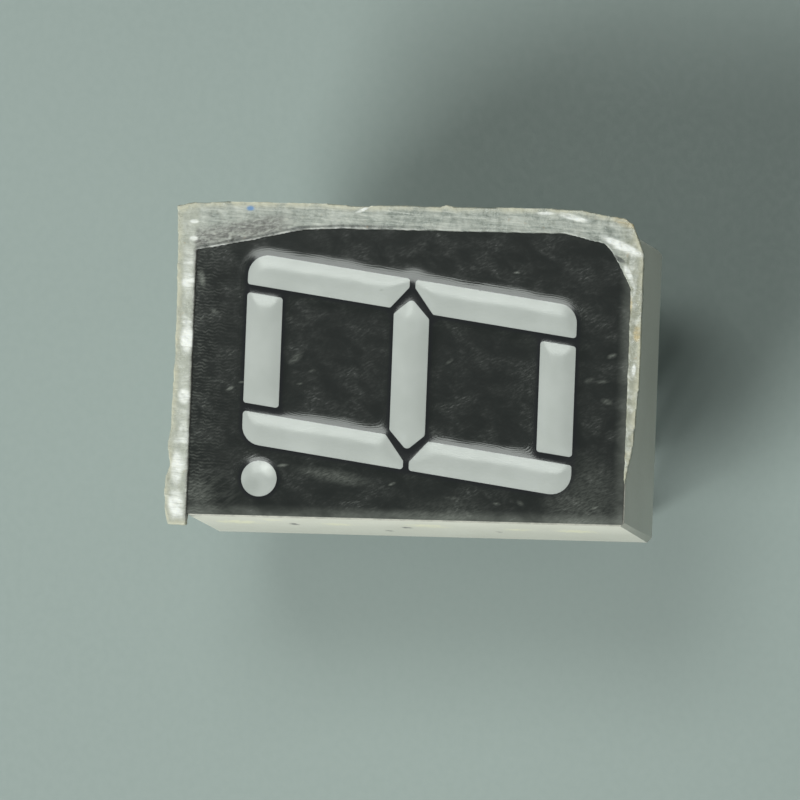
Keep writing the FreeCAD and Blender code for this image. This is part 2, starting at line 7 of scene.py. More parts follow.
import json
import logging
import math
from contextlib import contextmanager
from dataclasses import dataclass, replace
from enum import Enum
from typing import Callable, Iterable, Iterator

import bmesh
import bpy
import numpy as np
from mathutils import Matrix, Vector

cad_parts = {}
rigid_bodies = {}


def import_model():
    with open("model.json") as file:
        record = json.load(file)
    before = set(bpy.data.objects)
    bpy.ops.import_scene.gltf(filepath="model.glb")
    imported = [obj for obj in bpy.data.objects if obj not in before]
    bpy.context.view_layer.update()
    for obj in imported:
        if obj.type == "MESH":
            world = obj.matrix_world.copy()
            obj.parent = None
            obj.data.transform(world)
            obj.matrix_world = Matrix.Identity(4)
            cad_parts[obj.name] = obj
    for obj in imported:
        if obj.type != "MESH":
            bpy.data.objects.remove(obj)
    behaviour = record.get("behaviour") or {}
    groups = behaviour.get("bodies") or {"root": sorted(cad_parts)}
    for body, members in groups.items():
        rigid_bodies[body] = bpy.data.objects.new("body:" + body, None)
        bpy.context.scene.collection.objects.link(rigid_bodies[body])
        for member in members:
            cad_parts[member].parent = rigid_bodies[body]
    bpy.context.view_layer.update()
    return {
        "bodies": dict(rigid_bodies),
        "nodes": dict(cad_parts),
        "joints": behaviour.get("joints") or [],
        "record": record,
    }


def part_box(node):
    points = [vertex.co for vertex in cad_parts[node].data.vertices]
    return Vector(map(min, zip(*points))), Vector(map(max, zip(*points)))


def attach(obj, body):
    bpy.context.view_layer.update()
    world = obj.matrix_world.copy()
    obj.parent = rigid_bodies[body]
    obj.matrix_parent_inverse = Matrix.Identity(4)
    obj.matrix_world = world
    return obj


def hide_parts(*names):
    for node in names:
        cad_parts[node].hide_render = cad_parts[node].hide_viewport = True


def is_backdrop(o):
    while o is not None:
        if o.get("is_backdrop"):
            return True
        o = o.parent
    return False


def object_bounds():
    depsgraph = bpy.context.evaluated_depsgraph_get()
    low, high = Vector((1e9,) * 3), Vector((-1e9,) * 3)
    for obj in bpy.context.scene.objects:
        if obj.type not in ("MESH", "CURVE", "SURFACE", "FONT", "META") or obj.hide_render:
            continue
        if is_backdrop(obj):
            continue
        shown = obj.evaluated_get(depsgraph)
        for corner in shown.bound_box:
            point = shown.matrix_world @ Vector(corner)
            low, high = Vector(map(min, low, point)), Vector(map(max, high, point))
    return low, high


MM = 0.001
HAIR = 0.001 * MM  # how close counts as level
WELD = 0.0005 * MM  # how close counts as the same point
SLIVER = 0.0001 * MM  # how close counts as on a cut
BODY = "root"
PIN_NUMBERS = range(1, 11)
LIT_AREAS = (*"abcdefg", "point")

Colour = tuple[float, float, float]
Span = tuple[float, float]
Piece = bpy.types.Object
Mesh = bmesh.types.BMesh
Socket = bpy.types.NodeSocket

log = logging.getLogger("display")


# ---- bench tools
def pick(*pieces: Piece) -> None:
    """Makes some pieces the only selected ones, and the first of them the active one.

    Args:
        pieces: The objects that the next operators act on, or none to leave nothing selected.
    """
    for item in bpy.context.selected_objects:
        item.select_set(False)
    for piece in pieces:
        piece.select_set(True)
    if pieces:
        bpy.context.view_layer.objects.active = pieces[0]


@contextmanager
def editing(piece: Piece) -> Iterator[Mesh]:
    """Opens a piece in edit mode with nothing selected, and closes it afterwards.

    Args:
        piece: The object to edit.

    Yields:
        The mesh under edit.
    """
    pick(piece)
    bpy.ops.object.mode_set(mode="EDIT")
    bpy.ops.mesh.select_all(action="DESELECT")
    yield bmesh.from_edit_mesh(piece.data)
    bmesh.update_edit_mesh(piece.data)
    bpy.ops.object.mode_set(mode="OBJECT")


def choose(piece: Piece, parts: Iterable, wanted: Callable[..., bool]) -> None:
    """Selects the parts of an open mesh that pass a test, and nothing else.

    Args:
        piece: The piece under edit.
        parts: Its points, edges or faces.
        wanted: The test.
    """
    bpy.ops.mesh.select_all(action="DESELECT")
    for part in parts:
        if wanted(part):
            part.select_set(True)
    bmesh.update_edit_mesh(piece.data)


def added(name: str, stretch: tuple[float, float, float] = (1.0, 1.0, 1.0)) -> Piece:
    """Names the primitive that was just added, and moves its place and size into its mesh.

    Args:
        name: The piece's name.
        stretch: What its sides are first multiplied by.

    Returns:
        The new object, which sits at the origin.
    """
    piece = bpy.context.object
    piece.name = piece.data.name = name
    piece.scale = stretch
    pick(piece)
    bpy.ops.object.transform_apply(location=True, rotation=True, scale=True)
    return piece


def apply_all(piece: Piece) -> None:
    """Applies every modifier of a piece, in order.

    Args:
        piece: The object whose modifiers are applied.
    """
    pick(piece)
    for modifier in list(piece.modifiers):
        bpy.ops.object.modifier_apply(modifier=modifier.name)


def soften(piece: Piece, radius: float, segments: int, angle: float) -> None:
    """Rounds a piece's sharp edges.

    Args:
        piece: The object to round.
        radius: The radius of the edges, in millimetres.
        segments: How many flats the rounding has.
        angle: The smallest turn that counts as sharp, in degrees.
    """
    bevel = piece.modifiers.new("edge_round", "BEVEL")
    bevel.width, bevel.segments = radius * MM, segments
    bevel.limit_method, bevel.angle_limit = "ANGLE", math.radians(angle)
    apply_all(piece)


def shade(piece: Piece, angle: float) -> None:
    """Shades a piece smooth, with sharp edges past an angle in degrees."""
    pick(piece)
    bpy.ops.object.shade_smooth_by_angle(angle=math.radians(angle))


def join(*pieces: Piece) -> None:
    """Joins several pieces into the first of them."""
    pick(*pieces)
    bpy.ops.object.join()


def trace(name: str, points: list[Vector]) -> Piece:
    """Draws a flat face by extruding one point round an outline and filling it.

    Args:
        name: The new piece's name.
        points: The outline's corners in metres, counter-clockwise as seen from outside.

    Returns:
        The piece, a single face.
    """
    pick()
    bpy.ops.mesh.primitive_plane_add(size=MM, location=points[0])
    piece = added(name)
    with editing(piece):
        bpy.ops.mesh.select_all(action="SELECT")
        bpy.ops.mesh.merge(type="CENTER")
        for start, end in zip(points, points[1:]):
            bpy.ops.mesh.extrude_vertices_move(TRANSFORM_OT_translate={"value": end - start})
        bpy.ops.mesh.select_all(action="SELECT")
        bpy.ops.mesh.edge_face_add()
        bpy.ops.mesh.normals_make_consistent(inside=False)
    return piece


def dress(piece: Piece, finish: "Finish", slot: str, *nodes: str) -> None:
    """Gives a new piece its material and its place in the frame.

    Args:
        piece: The finished object.
        finish: What it is coated with or made of.
        slot: The record's material slot; not used.
        nodes: The CAD nodes that it stands for.
    """
    piece.data.materials.clear()
    piece.data.materials.append(finish.material())
    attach(piece, BODY)
    if nodes:
        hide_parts(*nodes)
    log.info("%s: %d faces", piece.name, len(piece.data.polygons))


# ---- finishes
@dataclass(frozen=True)
class Pattern:
    """The grain of a pattern that a material is clouded with.

    Attributes:
        grains: How many grains there are for each millimetre, along X, Y and Z after the turn.
        detail, rough: How many finer layers it has, and how strong they are.
        warp, turn: How far it is pulled about, and its turn about Z in degrees.
    """

    grains: tuple[float, float, float]
    detail: float = 3.0
    rough: float = 0.5
    warp: float = 0.0
    turn: float = 0.0


@dataclass(frozen=True)
class Mark:
    """One smear, speck or stain: a soft oval patch, in millimetres.

    Attributes:
        right, up, height: Its middle along X, Y and Z.
        length, width, rise: Half its length, half its width and half its size along Z.
        turn, strength: The direction of its length from +X in degrees, and how much of it shows.
    """

    right: float
    up: float
    length: float
    width: float
    turn: float = 90.0
    strength: float = 0.5
    height: float = 8.0
    rise: float = 2.0


Marks = tuple[Mark, ...]


def marks(*rows: tuple[float, ...]) -> Marks:
    """Several marks, each from its values in Mark's order."""
    return tuple(Mark(*row) for row in rows)


@dataclass(frozen=True)
class Level:
    """A value or colour in a material under construction, and what can be made of it."""

    shader: "Shader"
    source: Socket

    def __mul__(self, other: "Level | float") -> "Level":
        """The product with another value."""
        return self.shader.reckon("MULTIPLY", self, other)

    def __add__(self, other: "Level") -> "Level":
        """The sum with another value."""
        return self.shader.reckon("ADD", self, other)

    def over(self, low: float, high: float, to_low: float = 0.0, to_high: float = 1.0,
             smooth: bool = True) -> "Level":
        """The value's span from low to high mapped onto another and clamped, eased where smooth."""
        ease = "SMOOTHSTEP" if smooth else "LINEAR"
        return self.shader.node("ShaderNodeMapRange", "Result", interpolation_type=ease, Value=self,
                                From_Min=low, From_Max=high, To_Min=to_low, To_Max=to_high)

    def weighed(self, weight: float, smooth: bool = False) -> "Level":
        """The value from 0 to 1 mapped onto 0 to a weight."""
        return self.over(0.0, 1.0, 0.0, weight, smooth)

    def mix(self, low: "Colour | Level", high: "Colour | Level") -> "Level":
        """A colour between two, by this value.

        Args:
            low: The colour where the value is 0.
            high: The colour where it is 1.

        Returns:
            The blended colour.
        """
        made = self.shader.tree.nodes.new("ShaderNodeMix")
        made.data_type = "RGBA"
        self.shader.put(made.inputs["Factor"], self)
        sockets = [socket for socket in made.inputs if socket.type == "RGBA"]
        for socket, colour in zip(sockets, (low, high)):
            self.shader.put(socket, colour if isinstance(colour, Level) else (*colour, 1.0))
        return Level(self.shader, next(socket for socket in made.outputs if socket.type == "RGBA"))


class Shader:
    """A material under construction: its node tree, its surface shader and its Object coordinates."""

    ridge_unit = math.pi / 10.0  # the Wave texture's scale at which its ridges are one unit apart
    glow_weight = 0.25  # how much of the light sinks under a glowing skin

    def __init__(self, name: str) -> None:
        """Starts an empty material.

        Args:
            name: The material's name.
        """
        self.material = bpy.data.materials.new(name)
        self.material.use_nodes = True
        self.tree = self.material.node_tree
        self.surface = self.tree.nodes["Principled BSDF"]
        self.place = self.node("ShaderNodeTexCoord", "Object")

    def put(self, socket: Socket, value: object) -> None:
        """Links a level to an input, or sets the input to a plain value.

        Args:
            socket: The input.
            value: What goes in.
        """
        if isinstance(value, Level):
            self.tree.links.new(value.source, socket)
        else:
            socket.default_value = value

    def adjust(self, node: bpy.types.Node, **settings: object) -> None:
        """Sets a node's options and inputs.

        Args:
            node: The node.
            settings: Option names, or input names with spaces written as underscores, and their values.
        """
        for key, value in settings.items():
            if hasattr(node, key):
                setattr(node, key, value)
            else:
                self.put(node.inputs[key.replace("_", " ")], value)

    def node(self, kind: str, output: str, **settings: object) -> Level:
        """Adds a node.

        Args:
            kind: The node's type.
            output: The output that is wanted.
            settings: The node's options and inputs.

        Returns:
            That output.
        """
        made = self.tree.nodes.new(kind)
        self.adjust(made, **settings)
        return Level(self, made.outputs[output])

    def reckon(self, operation: str, *terms: Level | float) -> Level:
        """Does one sum.

        Args:
            operation: The Math node's operation.
            terms: What it is done with.

        Returns:
            The result.
        """
        made = self.tree.nodes.new("ShaderNodeMath")
        made.operation = operation
        for socket, term in zip(made.inputs, terms):
            self.put(socket, term)
        return Level(self, made.outputs["Value"])

    def stretched(self, pattern: Pattern) -> Level:
        """Object coordinates turned about Z and then scaled to a pattern's grains."""
        turned = self.node("ShaderNodeMapping", "Vector", Vector=self.place,
                           Rotation=(0.0, 0.0, math.radians(pattern.turn)))
        return self.node("ShaderNodeMapping", "Vector", Vector=turned,
                         Scale=[share / MM for share in pattern.grains])

    def noise(self, pattern: Pattern) -> Level:
        """A cloudy pattern, from 0 to 1."""
        return self.node("ShaderNodeTexNoise", "Fac", Vector=self.stretched(pattern), Scale=1.0,
                         Detail=pattern.detail, Roughness=pattern.rough, Distortion=pattern.warp)

    def ridged(self, pattern: Pattern) -> Level:
        """A pattern of ridges across X, one for each grain, from 0 to 1."""
        return self.node("ShaderNodeTexWave", "Fac", Vector=self.stretched(pattern), Scale=self.ridge_unit,
                         Detail=pattern.detail, Detail_Scale=1.0, Distortion=pattern.warp)

    def held(self, name: str) -> Level:
        """A value that the mesh carries at its points, by its attribute's name."""
        return self.node("ShaderNodeAttribute", "Fac", attribute_name=name)

    def along(self, axis: str, start: float, end: float, *to: float, smooth: bool = True) -> Level:
        """The place along an axis, with a span in millimetres mapped as over() maps it."""
        place = self.node("ShaderNodeSeparateXYZ", axis, Vector=self.place)
        return place.over(start * MM, end * MM, *to, smooth=smooth)

    def spot(self, mark: Mark) -> Level:
        """A soft oval patch.

        Args:
            mark: Where the patch is and how large.

        Returns:
            The patch's strength: 1 at its middle and 0 outside it.
        """
        moved = self.node("ShaderNodeMapping", "Vector", vector_type="TEXTURE", Vector=self.place,
                          Location=[side * MM for side in (mark.right, mark.up, mark.height)],
                          Rotation=(0.0, 0.0, math.radians(mark.turn)),
                          Scale=[side * MM for side in (mark.length, mark.width, mark.rise)])
        ball = self.node("ShaderNodeTexGradient", "Fac", gradient_type="SPHERICAL", Vector=moved)
        return ball.over(0.0, 1.0)

    def relief(self, height: Level, depth: float) -> None:
        """Lets a pattern from 0 to 1 raise the surface by a depth in millimetres."""
        bump = self.node("ShaderNodeBump", "Normal", Strength=1.0, Distance=depth * MM, Height=height)
        self.put(self.surface.inputs["Normal"], bump)

    def glow(self, reach: Colour, depth: float) -> None:
        """Lets light sink under the skin, each colour to its share of a depth in millimetres."""
        self.adjust(self.surface, Subsurface_Weight=self.glow_weight, Subsurface_Radius=reach,
                    Subsurface_Scale=depth * MM)


@dataclass(frozen=True)
class Finish:
    """A plain finish: two close colours in a cloudy pattern, with its gloss and grain.

    Attributes:
        name: The material's name.
        light, dark: The colour of most of it, and of its darker patches.
        rough, metal: The mean roughness, and 1 for bare metal.
        patch, grain, depth: The patches and grains for each millimetre, and the grains' depth in millimetres.
    """

    name: str
    light: Colour
    dark: Colour
    rough: float = 0.45
    metal: float = 0.0
    patch: float = 0.8
    grain: float = 12.0
    depth: float = 0.004

    def material(self) -> bpy.types.Material:
        """Builds the material, or takes the one that was built before.

        Returns:
            The material.
        """
        made = bpy.data.materials.get(self.name)
        if made is None:
            shader = Shader(self.name)
            self.paint(shader)
            made = shader.material
        return made

    def body(self, shader: Shader) -> Level:
        """The two colours in their cloudy pattern."""
        return shader.noise(Pattern((self.patch,) * 3)).over(0.35, 0.65).mix(self.dark, self.light)

    def paint(self, shader: Shader) -> None:
        """Fills in the material's colour, roughness and relief.

        Args:
            shader: The empty material.
        """
        grains = shader.noise(Pattern((self.grain,) * 3))
        gloss = grains.over(0.3, 0.7, self.rough * 0.85, self.rough * 1.15)
        shader.adjust(shader.surface, Base_Color=self.body(shader), Roughness=gloss, Metallic=self.metal)
        shader.relief(grains, self.depth)


@dataclass(frozen=True)
class MilkyResin(Finish):
    """Cast resin with a white filler: a skin that light sinks into a little, with a painted highlight and
    painted shade on the decimal point, and a grey fleck.

    Attributes:
        glow_depth, glow_reach: How deep the light sinks in, in millimetres, and each colour's share of that.
        clear, highlight_places: The painted highlight on the decimal point's upper right, and where it is.
        shade_and_fleck, shade_and_fleck_places: The painted shade on the decimal point's lower left and a
            grey fleck in f, and where they are.
    """

    glow_depth: float = 0.35
    glow_reach: Colour = (1.0, 1.0, 0.9)
    # Painted highlight: the lit upper right of the decimal point.
    clear: Colour = (0.74, 0.76, 0.73)
    # Painted shade on the decimal point's lower left; the same grey marks a real fleck in f.
    shade_and_fleck: Colour = (0.34, 0.36, 0.34)
    highlight_places: Marks = marks((4.2, -5.93, 0.62, 0.45, 45.0, 0.85))
    shade_and_fleck_places: Marks = marks(
        (5.0, -6.7, 1.0, 0.75, -45.0, 0.7), (-3.56, -1.33, 0.14, 0.07, 100.0, 0.5),
    )

    def body(self, shader: Shader) -> Level:
        """The cloudy white with its painted highlight and painted shade on the decimal point, and a grey
        fleck.

        Args:
            shader: The material under construction.

        Returns:
            The colour.
        """
        body = super().body(shader)
        # Lays the painted highlight and painted shade on the decimal point, and the grey fleck in f.
        for places, colour in ((self.highlight_places, self.clear), (self.shade_and_fleck_places, self.shade_and_fleck)):
            for mark in places:
                body = shader.spot(mark).weighed(mark.strength, smooth=True).mix(body, colour)
        return body

    def paint(self, shader: Shader) -> None:
        """Fills in the plain finish, and the soft light under the skin."""
        super().paint(shader)
        shader.glow(self.glow_reach, self.glow_depth)


@dataclass(frozen=True)
class MouldedWhite(Finish):
    """White moulding compound, faintly clouded, with a few stains where the resin ran down its right wall.

    Attributes:
        cream, soot: The colours of the pale and of the dark stains.
        edge_darkening, edge_darkening_span: The colour that the wall turns towards its front edge, and where
            that starts and is full along Z, in millimetres.
        edge_darkening_weight: How strong that colour is.
        clouds, ragged: The patterns that break up the darker front edge and that fray the stains.
        pale_stains, dark_stains: Where the stains are.
    """

    cream: Colour = (0.97, 0.92, 0.66)
    soot: Colour = (0.16, 0.14, 0.15)
    # The colour that the wall darkens towards at its front edge.
    edge_darkening: Colour = (0.26, 0.26, 0.23)
    edge_darkening_span: Span = (7.7, 7.98)
    edge_darkening_weight: float = 0.75
    clouds: Pattern = Pattern((2.5, 2.5, 0.6), 4.0, 0.6, 0.5)
    ragged: Pattern = Pattern((3.2, 3.2, 1.9), 4.0, 0.6, 0.4)
    pale_stains: Marks = marks(
        (6.26, -7.6, 1.9, 0.6, 90.0, 0.75, 5.2, 1.7), (6.26, -5.9, 0.8, 0.6, 90.0, 0.4, 6.6, 1.2),
        (6.26, -3.3, 1.4, 0.6, 90.0, 0.6, 5.2, 1.3), (6.26, 0.6, 1.7, 0.6, 90.0, 0.65, 5.6, 1.6),
        (6.26, 4.4, 1.3, 0.6, 90.0, 0.5, 4.8, 1.2), (6.26, 6.9, 1.6, 0.6, 90.0, 0.75, 4.8, 1.6),
    )
    dark_stains: Marks = marks(
        (6.26, -5.27, 0.42, 0.6, 90.0, 0.9, 4.8, 0.9), (6.26, -1.5, 0.42, 0.6, 90.0, 0.7, 2.6, 0.8),
        (6.26, -0.45, 0.4, 0.6, 90.0, 0.95, 4.4, 0.9), (6.26, 3.4, 0.32, 0.6, 90.0, 0.5, 3.4, 0.7),
    )

    def body(self, shader: Shader) -> Level:
        """The clouded white with its stains, darker towards its front edge.

        Args:
            shader: The material under construction.

        Returns:
            The colour.
        """
        body = super().body(shader)
        ragged = shader.noise(self.ragged).over(0.34, 0.62, -0.5, 0.0)
        for stains, colour in ((self.pale_stains, self.cream), (self.dark_stains, self.soot)):
            for stain in stains:
                share = (shader.spot(stain) + ragged).weighed(stain.strength, smooth=True)
                body = share.mix(body, colour)
        # Darker towards the front edge, broken up by clouds.
        clouds = shader.noise(self.clouds).over(0.35, 0.65, 0.6)
        darkened_edge = shader.along("Z", *self.edge_darkening_span, 0.0, self.edge_darkening_weight) * clouds
        return darkened_edge.mix(body, self.edge_darkening)


@dataclass(frozen=True)
class MaskFilm(Finish):
    """The black face under its thin film of clear resin: combed at its lower edge, rippled round the windows.

    The mesh carries "shore", how far each point is outside the nearest window. Lengths are in millimetres.

    Attributes:
        gap_black, clean_shore: The clean colour close to the windows, and the shore where it fades and ends.
        haze: The colour of scuffs, smears and combed ridges.
        scuffs, fine, scuff_weight: The worn patches, the hairlines in them, and how strong both are.
        lower_edge, comb_reach: Where the combed ridges start along Y, and how far they run.
        comb, breaks, comb_weight: Those ridges, what breaks them up, and how strong they are.
        fan, fan_place: The ridges that fan out in the lower right corner, and their place.
        far_edges, edge_haze, haze_reach: The edges away from the rim, and the haze's strength and reach.
        ripple_pitch, ripple_start, ripple_end: The ripples' spacing, and where they begin and die away.
        wobble, wobble_reach: What bends the ripples, and how far.
        smears: The smears that lie on the film.
    """

    gap_black: Colour = (0.0145, 0.0155, 0.0175)
    clean_shore: Span = (0.03, 0.24)
    haze: Colour = (0.19, 0.20, 0.18)
    scuffs: Pattern = Pattern((1.1, 0.7, 1.0), 5.0, 0.6, 0.3, 12.0)
    fine: Pattern = Pattern((15.0, 4.0, 1.0), 3.0, 0.6, 0.3, -27.0)
    scuff_weight: float = 0.09
    lower_edge: float = -9.4
    comb_reach: float = 2.6
    comb: Pattern = Pattern((1.0 / 0.14, 12.0, 1.0), 2.0, 0.5, 6.5, 3.0)  # ridges 0.14 mm apart
    breaks: Pattern = Pattern((3.4, 2.4, 1.0), 3.0, 0.6)
    comb_weight: float = 0.34
    fan: Pattern = Pattern((0.9, 6.5, 1.0), 2.0, 0.5, 0.5, 58.0)
    fan_place: Mark = Mark(5.1, -8.4, 2.2, 1.7, 60.0)
    far_edges: Span = (6.16, 9.36)
    edge_haze: Span = (0.5, 0.36)
    haze_reach: float = 0.55
    ripple_pitch: float = 0.085
    wobble: Pattern = Pattern((1.5, 0.6, 1.0), 2.0)
    wobble_reach: float = 0.3
    ripple_start: Span = (0.06, 0.16)
    ripple_end: Span = (0.3, 0.42)
    smears: Marks = marks(
        (4.4, -3.1, 2.2, 0.4, 81.0, 0.5), (4.0, -5.3, 0.32, 0.11, 97.0, 0.9),
        (4.67, -0.58, 0.22, 0.08, 112.0, 1.0), (0.78, -7.7, 0.27, 0.1, 118.0, 1.0),
        (0.5, -7.2, 0.2, 0.07, 98.0, 0.8), (-0.6, -4.9, 0.45, 0.22, 130.0, 0.45),
        (0.5, -4.7, 0.2, 0.07, 100.0, 0.5), (-0.05, -4.2, 0.22, 0.1, 110.0, 0.35),
        (-2.5, -8.5, 0.32, 0.17, 60.0, 0.5), (-4.45, 4.43, 0.22, 0.07, 90.0, 1.0),
        (-1.0, 8.65, 0.3, 0.14, 110.0, 0.7), (0.06, 7.7, 0.3, 0.15, 120.0, 0.4),
        (0.1, 8.3, 0.38, 0.12, 95.0, 0.4), (0.95, 8.5, 0.35, 0.18, 75.0, 0.6),
        (5.4, 3.95, 0.22, 0.11, 85.0, 0.6), (5.35, 4.95, 0.24, 0.15, 60.0, 0.4),
        (5.45, 8.15, 0.26, 0.11, 100.0, 0.6), (5.2, 2.0, 0.35, 0.1, 90.0, 0.35),
        (5.9, 2.8, 0.28, 0.15, 60.0, 0.35), (6.0, 1.0, 2.6, 0.3, 88.0, 0.25),
        (6.15, 7.2, 1.8, 0.25, 95.0, 0.35), (3.9, 8.0, 1.8, 0.9, 60.0, 0.13),
        (-0.6, 1.7, 0.28, 0.1, 125.0, 0.45), (-3.9, -9.1, 0.5, 0.22, 10.0, 1.0),
        (5.3, 7.6, 2.4, 1.9, 90.0, 0.3), (5.7, 2.0, 2.6, 0.8, 90.0, 0.16), (5.3, -8.9, 1.1, 0.8, 60.0, 0.4),
        (-1.0, 9.3, 4.0, 0.5, 0.0, 0.12),
    )

    def ridges(self, shader: Shader, away: Level) -> Level:
        """The combed ridges along the lower edge, and their fan in its corner.

        Args:
            shader: The material under construction.
            away: 0 beside a window, and 1 away from it.

        Returns:
            How strong the ridges are.
        """
        near = shader.along("Y", self.lower_edge, self.lower_edge + self.comb_reach, 1.0, 0.0, smooth=False)
        combed = near * near * away * shader.noise(self.breaks).over(0.38, 0.62)
        corner = shader.spot(self.fan_place).weighed(self.fan_place.strength, smooth=True) * away
        return (shader.ridged(self.comb).over(0.25, 0.95) * combed
                + shader.noise(self.fan).over(0.42, 0.7) * corner)

    def ripples(self, shader: Shader) -> Level:
        """The ripples that run round the windows.

        Args:
            shader: The material under construction.

        Returns:
            Their height.
        """
        shore = shader.held("shore")
        bent = shore + shader.noise(self.wobble).weighed(self.wobble_reach)
        near = shore.over(*self.ripple_end, 0.1, 0.0) * shore.over(*self.ripple_start)
        return shader.reckon("SINE", bent * (2.0 * math.pi / self.ripple_pitch)) * near

    def paint(self, shader: Shader) -> None:
        """Fills in the black with its scuffs, its ridges, its ripples and its smears.

        Args:
            shader: The empty material.
        """
        away = shader.held("shore").over(*self.clean_shore)
        ridges = self.ridges(shader, away)
        scuffs, fine = shader.noise(self.scuffs), shader.noise(self.fine)
        worn = scuffs.over(0.38, 0.72) * fine.over(0.38, 0.7) * away
        hazy = worn.weighed(self.scuff_weight) + ridges.weighed(self.comb_weight)
        broken, clouded = fine.over(0.3, 0.65, 0.25), scuffs.over(0.3, 0.6, 0.45)
        for smear in self.smears:
            hazy = hazy + (shader.spot(smear) * broken).weighed(smear.strength)
        for axis, edge, haze in zip("XY", self.far_edges, self.edge_haze):
            hazy = hazy + shader.along(axis, edge - self.haze_reach, edge, 0.0, haze) * clouded
        body = away.mix(self.gap_black, scuffs.over(0.3, 0.7).mix(self.dark, self.light))
        shader.adjust(shader.surface, Base_Color=hazy.weighed(1.0).mix(body, self.haze), IOR=1.5,
                      Roughness=worn.over(0.0, 1.0, self.rough, self.rough * 2.2))
        grain = fine.weighed(0.15, smooth=True) + ridges.weighed(0.12, smooth=True)
        shader.relief(grain + self.ripples(shader), self.depth)


